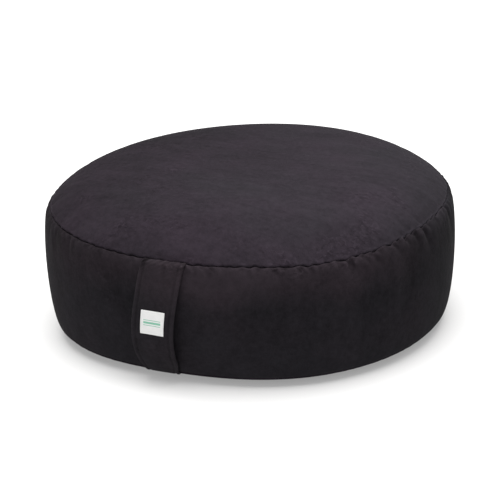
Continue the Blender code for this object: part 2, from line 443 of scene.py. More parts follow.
def thinned(rings: Sequence[np.ndarray], full: float, coarser: int = 1) -> list[np.ndarray]:
    """Rings with fewer points the nearer they lie to the middle.

    Args:
        rings: rings of points with equal counts.
        full: outside this radius a ring keeps its points.
        coarser: keep only one point in so many everywhere.

    Returns:
        The rings, each with a half, a quarter and so on of its points.
    """
    kept = []
    for ring in rings:
        radius = float(np.hypot(ring[:, 0], ring[:, 1]).mean())
        halvings = 0 if radius > full else 1 + int(math.log2(full / max(radius, 1e-6)))
        kept.append(ring[:: min(MOST_THINNED, coarser * 2 ** min(MOST_HALVINGS, halvings))])
    return kept


def closing_faces(first: int, count: int, middle: int = 0) -> list[tuple[int, ...]]:
    """Faces that close a ring of points straight across, in the way of a ladder.

    Args:
        first: index of the ring's first point.
        count: how many points the ring has.
        middle: the point that the ladder starts at.

    Returns:
        The faces.
    """
    faces: list[tuple[int, ...]] = []
    for k in range((count - 1) // 2 + (1 - count % 2)):
        right, next_right = (first + (middle + k + s) % count for s in (0, 1))
        left, next_left = (first + (middle - k - s) % count for s in (0, 1))
        corners = dict.fromkeys((right, next_right, next_left, left))
        if len(corners) > 2:
            faces.append(tuple(corners))
    return faces


def loft(
    name: str, rings: Sequence[np.ndarray], uv: np.ndarray | None = None, middle: int = 0
) -> bpy.types.Object:
    """A closed mesh of closed rings. A ring has as many points as the next, or twice or half as many.

    Args:
        name: the piece's name.
        rings: the rings' points, with the values of POINT_VALUES after them where the cloth has them.
        uv: a place on the flat cloth for each point, where the finish follows the cloth.
        middle: the point that each end is closed from.

    Returns:
        The new object, with its place in its mesh.
    """
    counts = [len(ring) for ring in rings]
    starts = np.concatenate([[0], np.cumsum(counts)]).tolist()
    faces = closing_faces(0, counts[0], middle)
    faces += [face[::-1] for face in closing_faces(starts[-2], counts[-1], middle)]
    for i, (here, there) in enumerate(zip(counts, counts[1:])):
        a, b = starts[i], starts[i + 1]
        if here == there:
            faces.extend((a + j, b + j, b + (j + 1) % here, a + (j + 1) % here) for j in range(here))
        elif here == 2 * there:
            for k in range(there):
                a0, a1, a2 = a + 2 * k, a + 2 * k + 1, a + (2 * k + 2) % here
                b0, b1 = b + k, b + (k + 1) % there
                faces.extend([(a0, b0, a1), (a1, b0, b1), (a1, b1, a2)])
        else:
            for k in range(here):
                b0, b1, b2 = b + 2 * k, b + 2 * k + 1, b + (2 * k + 2) % there
                a0, a1 = a + k, a + (k + 1) % here
                faces.extend([(a0, b0, b1), (a0, b1, a1), (a1, b1, b2)])
    mesh = bpy.data.meshes.new(name)
    points = np.concatenate(rings)
    mesh.from_pydata(points[:, :3].tolist(), [], faces)
    for label, values in zip(POINT_VALUES, points.T[3:]):
        mesh.attributes.new(label, "FLOAT", "POINT").data.foreach_set("value", values.astype(np.float32))
    if uv is not None:
        layer = mesh.uv_layers.new(name="cloth")
        corners = np.empty(len(mesh.loops), dtype=np.int32)
        mesh.loops.foreach_get("vertex_index", corners)
        layer.data.foreach_set("uv", uv.reshape(-1, 2)[corners].astype(np.float32).ravel())
    mesh.validate()
    piece = bpy.data.objects.new(name, mesh)
    bpy.context.scene.collection.objects.link(piece)
    return piece


def finish_cloth(piece: bpy.types.Object, levels: int = 0) -> bpy.types.Object:
    """Face a piece outwards, subdivide it and shade it smooth.

    Args:
        piece: the piece to finish.
        levels: how often to halve its faces.

    Returns:
        The same piece.
    """
    make_active(piece)
    bpy.ops.object.mode_set(mode="EDIT")
    bpy.ops.mesh.select_all(action="SELECT")
    bpy.ops.mesh.normals_make_consistent(inside=False)
    bpy.ops.object.mode_set(mode="OBJECT")
    if levels:
        subdivision = piece.modifiers.new("subdivision", "SUBSURF")
        subdivision.levels = levels
        subdivision.render_levels = levels
        apply_modifiers(piece)
    make_active(piece)
    bpy.ops.object.shade_smooth()
    return piece


@dataclass(frozen=True)
class Unevenness:
    """A closed, smooth, seeded noise round the cushion, between about -1 and 1."""

    waves: tuple[int, ...]
    seed: int
    usual: float = 0.6
    peak: float = 1.4

    def round(self, count: int) -> np.ndarray:
        """The noise at even places.

        Args:
            count: number of places round the cushion.

        Returns:
            One value for each place.
        """
        rng = np.random.default_rng(self.seed)
        angle = np.linspace(0.0, 2 * np.pi, count, endpoint=False)
        total = np.zeros(count)
        for wave in self.waves:
            total += rng.uniform(0.5, 1.0) * np.sin(wave * angle + rng.uniform(0.0, 2 * np.pi))
        return total / (self.usual * math.sqrt(len(self.waves)) + TINY) / self.peak


# Shaders


SPREAD_OUT = 2.2


@dataclass(frozen=True)
class Grain:
    """A noise: about how many features it has in a metre, its detail and its roughness."""

    scale: float
    detail: float = 2.0
    roughness: float = 0.5


class Value:
    """A shader socket that Python's own arithmetic works on."""

    def __init__(self, graph: "Graph", socket: bpy.types.NodeSocket) -> None:
        """Wrap an output socket of a graph."""
        self.graph = graph
        self.socket = socket

    def __add__(self, other: "Value | float") -> "Value":
        """Sum of two values."""
        return self.graph.math("ADD", self, other)

    def __radd__(self, other: float) -> "Value":
        """Sum with a number on the left."""
        return self.graph.math("ADD", other, self)

    def __sub__(self, other: "Value | float") -> "Value":
        """Difference of two values."""
        return self.graph.math("SUBTRACT", self, other)

    def __rsub__(self, other: float) -> "Value":
        """Difference from a number on the left."""
        return self.graph.math("SUBTRACT", other, self)

    def __mul__(self, other: "Value | float") -> "Value":
        """Product of two values."""
        return self.graph.math("MULTIPLY", self, other)

    def __rmul__(self, other: float) -> "Value":
        """Product with a number on the left."""
        return self.graph.math("MULTIPLY", other, self)

    def __pow__(self, other: float) -> "Value":
        """A power of the value."""
        return self.graph.math("POWER", self, other)

    def clamped(self) -> "Value":
        """The value, held between 0 and 1."""
        return self.graph.math("ADD", self, 0.0, clamp=True)


class Graph:
    """The node graph of one material."""

    def __init__(self, name: str) -> None:
        """Make a material with one Principled BSDF.

        Args:
            name: the material's name.
        """
        self.material = bpy.data.materials.new(name)
        self.material.use_nodes = True
        self.tree = self.material.node_tree
        self.shader = self.tree.nodes["Principled BSDF"]

    def node(
        self, kind: str, settings: dict[str, Any] | None = None, inputs: dict[str | int, Any] | None = None
    ) -> bpy.types.Node:
        """Add a node.

        Args:
            kind: the node's type.
            settings: its properties, set before its sockets.
            inputs: values or links, by the socket's name or number.

        Returns:
            The new node.
        """
        node = self.tree.nodes.new(kind)
        for key, value in (settings or {}).items():
            setattr(node, key, value)
        for key, value in (inputs or {}).items():
            self.feed(node.inputs[key], value)
        return node

    def feed(self, socket: bpy.types.NodeSocket, value: Any) -> None:
        """Link a value to a socket, or set the socket to it.

        Args:
            socket: an input socket.
            value: a Value, a number or a colour.
        """
        if isinstance(value, Value):
            self.tree.links.new(value.socket, socket)
        else:
            socket.default_value = value

    def math(self, operation: str, a: "Value | float", b: "Value | float", clamp: bool = False) -> Value:
        """One Math node."""
        node = self.node("ShaderNodeMath", {"operation": operation, "use_clamp": clamp}, {0: a, 1: b})
        return Value(self, node.outputs[0])

    def object_place(self) -> Value:
        """The point's place on the piece, in metres."""
        return Value(self, self.node("ShaderNodeTexCoord").outputs["Object"])

    def own_value(self, name: str) -> Value:
        """A value that the piece's own points carry."""
        node = self.node("ShaderNodeAttribute", {"attribute_type": "GEOMETRY", "attribute_name": name})
        return Value(self, node.outputs["Fac"])

    def line_where_even(self, noise: Value, sharpness: float) -> Value:
        """A thin line, one along its middle, where a noise crosses a half."""
        return (1.0 - self.math("ABSOLUTE", noise - 0.5, 0.0) * sharpness).clamped()

    def cloth_place(self) -> Value:
        """The point's place on the flat cloth."""
        return Value(self, self.node("ShaderNodeUVMap", {"uv_map": "cloth"}).outputs["UV"])

    def stretched(self, place: Value, scale: tuple[float, float, float], turn: float = 0.0) -> Value:
        """A place with its axes scaled, and turned about Z.

        Args:
            place: the place.
            scale: the factor on each axis.
            turn: the turn, in radians.

        Returns:
            The new place.
        """
        inputs = {"Vector": place, "Rotation": (0.0, 0.0, turn), "Scale": scale}
        node = self.node("ShaderNodeMapping", {"vector_type": "POINT"}, inputs)
        return Value(self, node.outputs["Vector"])

    def noise(self, place: Value, grain: Grain) -> Value:
        """Noise of a grain, from 0 to 1."""
        inputs = {"Vector": place, "Scale": grain.scale, "Detail": grain.detail, "Roughness": grain.roughness}
        return Value(self, self.node("ShaderNodeTexNoise", {"noise_dimensions": "3D"}, inputs).outputs[0])

    def swing(self, noise: Value) -> Value:
        """Noise spread out to run from about -1 to 1."""
        return (((noise - 0.5) * SPREAD_OUT + 0.5).clamped() - 0.5) * 2.0

    def mixed(self, factor: "Value | float", a: Any, b: Any) -> Value:
        """A colour between two colours."""
        node = self.node("ShaderNodeMix", {"data_type": "RGBA"}, {0: factor, 6: a, 7: b})
        return Value(self, node.outputs[2])

    def scaled(self, colour: Value, factor: "Value | float") -> Value:
        """A colour made brighter or darker."""
        node = self.node("ShaderNodeVectorMath", {"operation": "SCALE"}, {0: colour, "Scale": factor})
        return Value(self, node.outputs[0])

    def dot(self, place: Value, direction: tuple[float, float, float]) -> Value:
        """How far a place lies along a direction."""
        node = self.node("ShaderNodeVectorMath", {"operation": "DOT_PRODUCT"}, {0: place, 1: direction})
        return Value(self, node.outputs["Value"])

    def axis(self, place: Value, name: str) -> Value:
        """One coordinate of a place."""
        return Value(self, self.node("ShaderNodeSeparateXYZ", None, {0: place}).outputs[name])

    def bump(self, height: Value, distance: float, strength: float) -> None:
        """Feed a height to the shader's normal.

        Args:
            height: the height, in shares of the distance.
            distance: how high one is, in metres.
            strength: how strongly it acts.
        """
        inputs = {"Strength": strength, "Distance": distance, "Height": height}
        node = self.node("ShaderNodeBump", None, inputs)
        self.feed(self.shader.inputs["Normal"], Value(self, node.outputs["Normal"]))


# Level directions to the right and to the front, along which painted light and shade and the warm hue drift
# across the cloth.
RIGHTWARD = (0.90, 0.435, 0.0)
FRONTWARD = (0.435, -0.90, 0.0)
HALF_HEIGHT = 0.064
# Where the upper band is painted lighter and warmer in hue, narrowing towards both ends.
UPPER_BAND_FROM = 0.080
UPPER_BAND_OVER = 0.028
UPPER_BAND_NARROWING = 32.0
UPPER_PAINTED_LIGHT_MIDDLE = 1.1
UPPER_WARMTH_MIDDLE = 1.6

PATCH_GRAIN = Grain(11.0, 3.0)
STROKE_GRAIN = Grain(48.0, 3.0, 0.6)
MOTTLE_GRAIN = Grain(210.0, 3.0, 0.65)
FIBRE_GRAIN = Grain(1300.0, 2.0, 0.6)
CLUSTER_GRAIN = Grain(24.0, 1.0)
SHORTENING_GRAIN = Grain(270.0, 0.0)
WISP_GRAIN = Grain(135.0, 1.0)
CRACK_GRAIN = Grain(95.0, 1.0)
BROAD_HUE_GRAIN = Grain(6.0, 1.0, 0.4)
FINE_HUE_GRAIN = Grain(24.0, 1.0, 0.4)


class Nap(Enum):
    """Which way a cloth's nap was last brushed, in degrees from the X axis."""

    LEVEL = 0.0
    SLANT = 35.0
    UPRIGHT = 90.0


@dataclass(frozen=True)
class SuedeFinish:
    """Microsuede: a short soft nap, brushed into lighter and darker patches, with painted light and shade
    drifting across it.
    """

    name: str
    cool: tuple[float, float, float]
    warm: tuple[float, float, float]
    nap: Nap = Nap.SLANT
    nap_stretch: tuple[float, float, float] = (1.0, 2.4, 1.0)
    wisp_stretch: tuple[float, float, float] = (1.0, 1.0, 1.6)
    patches: float = 0.13
    strokes: float = 0.14
    mottle: float = 0.20
    fibres: float = 0.16
    sheen: float = 0.02
    sheen_roughness: float = 0.45
    sheen_tint: tuple[float, float, float] = (0.9, 0.9, 0.9)
    specular: float = 0.03
    roughness: float = 0.92
    painted_light_right: float = 0.0
    painted_light_front: float = 0.0
    painted_light_up: float = 0.0
    painted_light_ends: float = 0.0
    painted_light_upper: float = 0.0
    upper_warmth: float = 0.0
    warm_right: float = 0.0
    hue_drift: float = 0.36
    cluster_from: float = 0.61
    cluster_gain: float = 6.0
    crushed: float = 1.15
    wisp_light: float = 0.36
    crack_dark: float = 0.28
    wisp_sharpness: float = 12.0
    crack_sharpness: float = 13.0
    shortening: float = 10.0
    upper_waver: float = 0.3
    fine_hue: float = 0.6
    rough_mottle: float = 0.03
    fibre_height: float = 0.3
    mottle_height: float = 0.4
    stroke_height: float = 0.6
    crinkle_height: float = 1.2
    bump_height: float = 0.25 * MM
    bump_strength: float = 0.6

    def wisps_and_cracks(self, graph: Graph, place: Value) -> tuple[Value, Value]:
        """Short light and dark lines, in clusters and where the nap is crushed.

        Args:
            graph: the material's graph.
            place: the point's place on the piece.

        Returns:
            The light wisps and the dark cracks, each from 0 to 1.
        """
        clusters = (graph.noise(place, CLUSTER_GRAIN) - self.cluster_from) * self.cluster_gain
        crinkled = (clusters + graph.own_value(CRUSH) * self.crushed).clamped()
        short = ((graph.noise(place, SHORTENING_GRAIN) - 0.50) * self.shortening).clamped()
        drawn_out = graph.stretched(place, self.wisp_stretch)
        light_lines = graph.line_where_even(graph.noise(drawn_out, WISP_GRAIN), self.wisp_sharpness)
        dark_lines = graph.line_where_even(graph.noise(place, CRACK_GRAIN), self.crack_sharpness)
        return crinkled * (light_lines * short), crinkled * (dark_lines * (1.0 - short))

    def build(self) -> bpy.types.Material:
        """Make the material.

        Returns:
            The material, on Object coordinates and the cloth's own painted shade with wear, and crush.
        """
        graph = Graph(self.name)
        place = graph.object_place()
        brushed = graph.stretched(place, self.nap_stretch, math.radians(self.nap.value))
        patches = graph.swing(graph.noise(brushed, PATCH_GRAIN))
        strokes = graph.swing(graph.noise(brushed, STROKE_GRAIN))
        mottle = graph.swing(graph.noise(place, MOTTLE_GRAIN))
        fibres = graph.swing(graph.noise(place, FIBRE_GRAIN))
        across = graph.dot(place, RIGHTWARD)
        up = graph.axis(place, "Z")
        narrowing = across * across * UPPER_BAND_NARROWING
        high = ((up - UPPER_BAND_FROM) * (1.0 / UPPER_BAND_OVER) + patches * self.upper_waver).clamped()
        # Painted light and shade: lighter or darker to the right, to the front and with height, lighter or
        # darker towards both ends, and lighter on the upper band.
        tone = 1.0 + across * self.painted_light_right + graph.dot(place, FRONTWARD) * self.painted_light_front
        tone = tone + (up - HALF_HEIGHT) * self.painted_light_up + across * across * self.painted_light_ends
        tone = tone + high * (UPPER_PAINTED_LIGHT_MIDDLE - narrowing).clamped() * self.painted_light_upper
        tone = tone + patches * self.patches + strokes * self.strokes
        tone = tone + mottle * self.mottle + fibres * self.fibres
        wisps, cracks = self.wisps_and_cracks(graph, place)
        # The points' painted shade and light with wear, then the nap's light wisps and dark cracks.
        tone = tone + graph.own_value(PAINTED_SHADE_AND_WEAR) + wisps * self.wisp_light - cracks * self.crack_dark
        broad = graph.swing(graph.noise(place, BROAD_HUE_GRAIN))
        drift = broad + graph.swing(graph.noise(place, FINE_HUE_GRAIN)) * self.fine_hue
        upper_warm = ((high * (UPPER_WARMTH_MIDDLE - narrowing).clamped()) - 0.5) * self.upper_warmth
        warmth = upper_warm + across * self.warm_right
        hue = (drift * self.hue_drift + 0.5 + warmth).clamped()
        colour = graph.mixed(hue, (*self.cool, 1.0), (*self.warm, 1.0))
        sockets = graph.shader.inputs
        graph.feed(sockets["Base Color"], graph.scaled(colour, tone))
        graph.feed(sockets["Roughness"], (mottle * self.rough_mottle + self.roughness).clamped())
        graph.feed(sockets["Specular IOR Level"], self.specular)
        graph.feed(sockets["Sheen Weight"], self.sheen)
        graph.feed(sockets["Sheen Roughness"], self.sheen_roughness)
        graph.feed(sockets["Sheen Tint"], (*self.sheen_tint, 1.0))
        height = fibres * self.fibre_height + mottle * self.mottle_height + strokes * self.stroke_height
        height = height + wisps * self.crinkle_height - cracks * self.crinkle_height
        graph.bump(height, self.bump_height, self.bump_strength)
        return graph.material


@dataclass(frozen=True)
class ThreadFinish:
    """Sewing thread: a tight twist with a low sheen."""

    name: str
    colour: tuple[float, float, float]
    roughness: float = 0.55
    specular: float = 0.35
    twist: Grain = Grain(3500.0, 1.0)
    contrast: float = 0.2
    bump_height: float = 0.1 * MM
    bump_strength: float = 0.5

    def build(self) -> bpy.types.Material:
        """Make the material.

        Returns:
            The material, on Object coordinates.
        """
        graph = Graph(self.name)
        ply = graph.noise(graph.object_place(), self.twist)
        shares = (1 - self.contrast, 1 + self.contrast)
        dark, light = (tuple(share * c for c in self.colour) for share in shares)
        graph.feed(graph.shader.inputs["Base Color"], graph.mixed(ply, (*dark, 1.0), (*light, 1.0)))
        graph.feed(graph.shader.inputs["Roughness"], self.roughness)
        graph.feed(graph.shader.inputs["Specular IOR Level"], self.specular)
        graph.bump(ply, self.bump_height, self.bump_strength)
        return graph.material


@dataclass(frozen=True)
class TapeFinish:
    """White woven tape with plain coloured stripes, on the label's own cloth places.

    A stripe is its middle and half its width, in shares of the label's height.
    """

    name: str
    ground: tuple[float, float, float] = (0.74, 0.74, 0.735)
    stripe: tuple[float, float, float] = (0.10, 0.42, 0.27)
    picks: float = 62.0
    warp_share: float = 0.8
    stripes: tuple[tuple[float, float], ...] = ((0.5, 0.045), (0.39, 0.014), (0.61, 0.014))
    half_stripe: float = 0.36
    stripe_cover: float = 0.85
    weft_share: float = 0.6
    weave_dark: float = 0.1
    waver: float = 0.012
    thread_waver: float = 0.2
    gaps: float = 0.8
    gap_from: float = 0.42
    soil: float = 0.1
    waver_grain: Grain = Grain(70.0, 1.0)
    gap_grain: Grain = Grain(240.0, 1.0)
    soil_grain: Grain = Grain(5.0, 3.0)
    roughness: float = 0.7
    specular: float = 0.3
    bump_height: float = 0.12 * MM
    bump_strength: float = 0.7

    def build(self) -> bpy.types.Material:
        """Make the material.

        Returns:
            The material, on the piece's UV map.
        """
        graph = Graph(self.name)
        place = graph.cloth_place()
        u = graph.axis(place, "X")
        v = graph.axis(place, "Y")
        waver = (graph.noise(place, self.waver_grain) - 0.5) * self.waver
        turns = 2 * math.pi * self.picks
        shift = waver * self.thread_waver
        weft = graph.math("SINE", (v + shift) * turns, 0.0) * 0.5 + 0.5
        warp = graph.math("SINE", (u + shift) * (turns * self.warp_share), 0.0) * 0.5 + 0.5
        weave = weft * self.weft_share + warp * (1.0 - self.weft_share)
        stripes: Value | float = 0.0
        for middle, half in self.stripes:
            far = graph.math("ABSOLUTE", v + waver - middle, 0.0)
            stripes = stripes + graph.math("LESS_THAN", far, half)
        inside = graph.math("LESS_THAN", graph.math("ABSOLUTE", u + waver - 0.5, 0.0), self.half_stripe)
        uneven = weave + graph.noise(place, self.gap_grain) * self.gaps
        broken = graph.math("GREATER_THAN", uneven, self.gap_from)
        cover = stripes * inside * broken * self.stripe_cover
        colour = graph.mixed(cover, (*self.ground, 1.0), (*self.stripe, 1.0))
        soil = (graph.noise(place, self.soil_grain) - 0.5) * self.soil
        shade = (1.0 - self.weave_dark) + weave * self.weave_dark + soil
        graph.feed(graph.shader.inputs["Base Color"], graph.scaled(colour, shade))
        graph.feed(graph.shader.inputs["Roughness"], self.roughness)
        graph.feed(graph.shader.inputs["Specular IOR Level"], self.specular)
        graph.bump(weave, self.bump_height, self.bump_strength)
        return graph.material


@dataclass(frozen=True)
class FloorFinish:
    """Plain pale studio floor, with a faint glow of its own that keeps it white."""

    name: str = "studio_floor"
    colour: tuple[float, float, float] = (0.5, 0.5, 0.5)
    roughness: float = 0.9
    specular: float = 0.1
    glow: float = 0.28

    def build(self) -> bpy.types.Material:
        """Make the material.

        Returns:
            The material, the same all over.
        """
        graph = Graph(self.name)
        graph.feed(graph.shader.inputs["Base Color"], (*self.colour, 1.0))
        graph.feed(graph.shader.inputs["Roughness"], self.roughness)
        graph.feed(graph.shader.inputs["Specular IOR Level"], self.specular)
        graph.feed(graph.shader.inputs["Emission Color"], (1.0, 1.0, 1.0, 1.0))
        graph.feed(graph.shader.inputs["Emission Strength"], self.glow)
        return graph.material


# Each finish's painted light and shade: to the right, to the front, with height, at both ends and on the
# upper band.
BAND_SUEDE = SuedeFinish(
    "band_suede",
    cool=(0.0122, 0.0113, 0.0135),
    warm=(0.0150, 0.0118, 0.0145),
    nap=Nap.UPRIGHT,
    sheen=0.01,
    painted_light_right=-0.6,
    painted_light_up=-4.0,
    painted_light_ends=-5.4,
    painted_light_upper=0.56,
    upper_warmth=0.95,
    warm_right=-1.1,
)
PANEL_SUEDE = SuedeFinish(
    "panel_suede",
    cool=(0.0145, 0.0128, 0.0157),
    warm=(0.0172, 0.0130, 0.0176),
    nap=Nap.LEVEL,
    sheen=0.01,
    painted_light_right=1.66,
    painted_light_front=1.05,
    warm_right=-2.2,
)
STRAP_SUEDE = SuedeFinish(
    "strap_suede",
    cool=(0.0146, 0.0130, 0.0155),
    warm=(0.0176, 0.0136, 0.0166),
    nap=Nap.SLANT,
    painted_light_upper=0.2,
    upper_warmth=0.7,
)
DARK_THREAD = ThreadFinish("dark_thread", colour=(0.012, 0.0105, 0.012), roughness=0.8, specular=0.1)
WHITE_THREAD = ThreadFinish("white_thread", colour=(0.72, 0.72, 0.71))


def dress(piece: bpy.types.Object, material: bpy.types.Material) -> None:
    """Give a piece its material and its body.

    Args:
        piece: the piece to dress.
        material: its material.
    """
    piece.data.materials.clear()
    piece.data.materials.append(material)
    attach(piece, BODY)


# The cushion


CLOTH_SETTINGS = {
    "quality": 6,
    "mass": 0.3,
    "air_damping": 2.0,
    "tension_stiffness": 25.0,
    "compression_stiffness": 25.0,
    "shear_stiffness": 8.0,
    "bending_stiffness": 0.8,
    "tension_damping": 10.0,
    "compression_damping": 10.0,
    "shear_damping": 10.0,
    "use_pressure": True,
    "vertex_group_mass": "pinned",
    "vertex_group_shrink": "eased",
    "shrink_min": 0.0,
}

SEAM_WANDER = Unevenness((37, 59, 71, 97, 118), 21)
TOP_PULL = Unevenness((71, 97, 131, 173), 3)
FOOT_PULL = Unevenness((71, 97, 131, 173), 5)
LIP_TIGHTNESS = Unevenness((47, 73, 101, 127), 9)
# Dashes where the seam's groove is painted lighter.
SEAM_DASHES = Unevenness((53, 83, 109), 59)

WANDERING = Spot(62.0, 38.0, 0.65)
LIFTED = Spot(26.0, 11.0, 1.5 * MM)
SOFTLY_PULLED = Spot(75.0, 30.0, 0.25)
LOOSE_LIP = Spot(70.0, 30.0, 0.9)
COVERING_LIP = Spot(72.0, 27.0, 1.4 * MM)
# Where painted shade and light are strongest: the right rim's painted shade, the far end's painted light, and
# the groove's painted light at both ends.
RIGHT_END = Spot(75.0, 22.0)
FAR_END = Spot(96.0, 17.0)
VAGUE_LEFT = Spot(-60.0, 14.0)
VAGUE_RIGHT = Spot(90.0, 18.0, 1.5)
MOST_USED = Spot(52.0, 42.0, 0.75)

THINNED_WITHIN = 110 * MM


@dataclass
class Skin:
    """The filled skin: a grid of rings from the crown's middle down to the foot's middle.

    An ease is its share at a seam and how far it reaches. The fine creases' sizes are in mm.
    """

    form: SewnForm
    columns: int = 360
    fine: float = 1.2 * MM
    coarse: float = 5.0 * MM
    crown_coarse: float = 7.0 * MM
    groove: float = 0.9 * MM
    groove_width: float = 1.1 * MM
    lip_rise: float = 0.4 * MM
    lip_most: float = 2.7 * MM
    lip_place: float = 1.9 * MM
    lip_width: float = 1.2 * MM
    lip_loose: float = 0.5
    seam_drop: float = 0.8 * MM
    seam_wander: float = 0.55 * MM
    seam_wander_least: float = 0.35
    seam_wander_reach: float = 4.5 * MM
    pull_mean: float = 0.6
    pull_uneven: float = 0.95
    pull_most: float = 2.0
    ease: float = 0.03
    band_ease: tuple[float, float] = (1.0, 26 * MM)
    crown_ease: tuple[float, float] = (0.25, 14 * MM)
    foot_ease: tuple[float, float] = (0.6, 18 * MM)
    pressure: float = 4.0
    frames: int = 20
    farthest: float = 3.0 * MM
    crown_reach: float = 9 * MM
    band_reach: float = 16 * MM
    broad_waves: float = 12.0
    broad_sharpness: int = 6
    sharp_depth: float = 0.42
    sharp_width: float = 0.36
    sharp_run: tuple[float, float] = (13.0, 0.1)
    fine_depth: tuple[float, float] = (0.5, 2.2)
    fine_width: tuple[float, float] = (1.8, 3.0)
    fine_run: tuple[float, float] = (7.0, 18.0)
    fine_lean: tuple[float, float] = (-0.1, 0.9)
    fine_pitch: tuple[float, float] = (1.5, 4.2)
    puckered: tuple[float, float] = (18.0, 80.0)
    puckered_until: float = 300.0
    pucker_shares: tuple[float, float] = (0.55, 0.4)
    crease_reach: float = 40.0
    crease_sharpness: float = 1.3
    crease_ridge: float = 0.4
    crease_ridge_place: float = 1.9
    crease_ridge_width: float = 0.8
    panel_crease: float = 0.35
    panel_crease_run: float = 0.6
    seed: int = 11
    section_points: int = 4001
    pole_margin: float = 2 * MM
    grid: np.ndarray = field(init=False)
    crease_depth: np.ndarray = field(init=False)
    looks: np.ndarray = field(init=False)
    top_seam: int = field(init=False)
    foot_seam: int = field(init=False)
    from_top: np.ndarray = field(init=False)
    from_foot: np.ndarray = field(init=False)

    def __post_init__(self) -> None:
        """Lay the rings out, fill the skin and pull its seams in."""
        self.lay_out()
        self.fill()
        self.refine()
        self.add_creases()
        self.pull_seams_in()
        self.press_lips()
        self.looks = NapShadeAndWear().marks(self)

    def lay_out(self) -> None:
        """Place the rings, close together at both seams, and move them to the sewn form."""
        form = self.form
        dense = np.linspace(0.0, 1.0, self.section_points)
        crown = form.crown_curve(dense[::-1])
        band = form.band((1.0 - np.cos(np.pi * dense)) / 2)
        foot = form.foot_curve(dense)
        crown_marks = graded_steps(curve_length(crown) - self.pole_margin, self.fine, self.crown_coarse)
        half = curve_length(band) / 2
        half_marks = graded_steps(half, self.fine, self.coarse)
        band_marks = np.concatenate([half_marks, (2 * half - half_marks[:-1])[::-1]])
        foot_marks = graded_steps(curve_length(foot) - self.pole_margin, self.fine, 2 * self.crown_coarse)
        section = np.concatenate(
            [
                at_distances(crown, crown_marks)[::-1],
                at_distances(band, band_marks)[1:],
                at_distances(foot, foot_marks)[1:],
            ]
        )
        self.top_seam = len(crown_marks) - 1
        self.foot_seam = self.top_seam + len(band_marks) - 1
        along = np.concatenate([[0.0], np.cumsum(np.linalg.norm(np.diff(section, axis=0), axis=1))])
        self.from_top = along - along[self.top_seam]
        self.from_foot = along - along[self.foot_seam]
        radius, turn = np.meshgrid(section[:, 0], self.degrees(), indexing="ij")
        height = np.repeat(section[:, 1][:, None], self.columns, axis=1)
        self.grid = form.as_sewn(radius, turn, height)

    def degrees(self) -> np.ndarray:
        """The columns' places round the cushion."""
        return np.arange(self.columns) * 360.0 / self.columns

    def pin_and_ease(self, shell: bpy.types.Object) -> None:
        """Pin both seams and the foot's flat middle, and give the cloth beside the seams more ease.

        Args:
            shell: the skin as one mesh, its points in the grid's order.
        """
        pinned = shell.vertex_groups.new(name="pinned")
        eased = shell.vertex_groups.new(name="eased")
        rings = len(self.grid)
        radius = np.hypot(self.grid[..., 0], self.grid[..., 1]).mean(1)
        flat_within = self.form.foot_radius - self.form.foot_roll
        held = {self.top_seam, self.foot_seam}
        held.update(i for i in range(self.foot_seam, rings) if radius[i] < flat_within)
        for i in range(rings):
            ring = list(range(i * self.columns, (i + 1) * self.columns))
            if i in held:
                pinned.add(ring, 1.0, "REPLACE")
            top_most, top_reach = self.band_ease if i >= self.top_seam else self.crown_ease
            foot_most, foot_reach = self.foot_ease
            top_share = top_most * math.exp(-((self.from_top[i] / top_reach) ** 2))
            foot_share = foot_most * math.exp(-((self.from_foot[i] / foot_reach) ** 2))
            eased.add(ring, min(1.0, top_share + foot_share), "REPLACE")

    def simulated(self, shell: bpy.types.Object) -> np.ndarray:
        """Run the simulation.

        Args:
            shell: the skin as one mesh, pinned and eased.

        Returns:
            Its points at the end, by ring and column.
        """
        cloth = shell.modifiers.new("filling", "CLOTH")
        for key, value in CLOTH_SETTINGS.items():
            setattr(cloth.settings, key, value)
        cloth.settings.uniform_pressure_force = self.pressure
        cloth.settings.shrink_max = -self.ease
        cloth.settings.effector_weights.gravity = 0.0
        cloth.collision_settings.use_collision = False
        cloth.point_cache.frame_start = 1
        cloth.point_cache.frame_end = self.frames
        scene = bpy.context.scene
        for frame_number in range(1, self.frames + 1):
            scene.frame_set(frame_number)
        evaluated = shell.evaluated_get(bpy.context.evaluated_depsgraph_get())
        filled = evaluated.to_mesh()
        points = np.empty(len(filled.vertices) * 3)
        filled.vertices.foreach_get("co", points)
        evaluated.to_mesh_clear()
        scene.frame_set(1)
        return points.reshape(-1, 3)[: len(self.grid) * self.columns].reshape(self.grid.shape)

    def swell_share(self) -> np.ndarray:
        """How much of the simulation's swells each ring keeps.

        Returns:
            Shares from 0 to 1, one for each ring.
        """
        inside = np.exp(-np.maximum(0.0, -self.from_top) / self.crown_reach)
        beside = fading(self.from_top, self.band_reach) + fading(self.from_foot, self.band_reach)
        below = np.where(self.from_foot > 0.0, 1.0, np.minimum(1.0, beside))
        return np.where(self.from_top < 0.0, inside, below)

    def fill(self) -> None:
        """Fill the skin by a cloth simulation and keep the small swells that this makes."""
        shell = loft("skin", list(self.grid))
        self.pin_and_ease(shell)
        moved = self.simulated(shell) - self.grid
        bpy.data.objects.remove(shell, do_unlink=True)
        swells = moved - self.smoothed_round(moved)
        size = np.linalg.norm(swells, axis=-1, keepdims=True)
        farthest = np.linalg.norm(moved, axis=-1).max()
        LOG.info("swells up to %.1f mm, moved up to %.1f mm", size.max() / MM, farthest / MM)
        cap = self.farthest * np.tanh(size / self.farthest) / np.maximum(size, TINY)
        self.grid = self.grid + swells * cap * self.swell_share()[:, None, None]

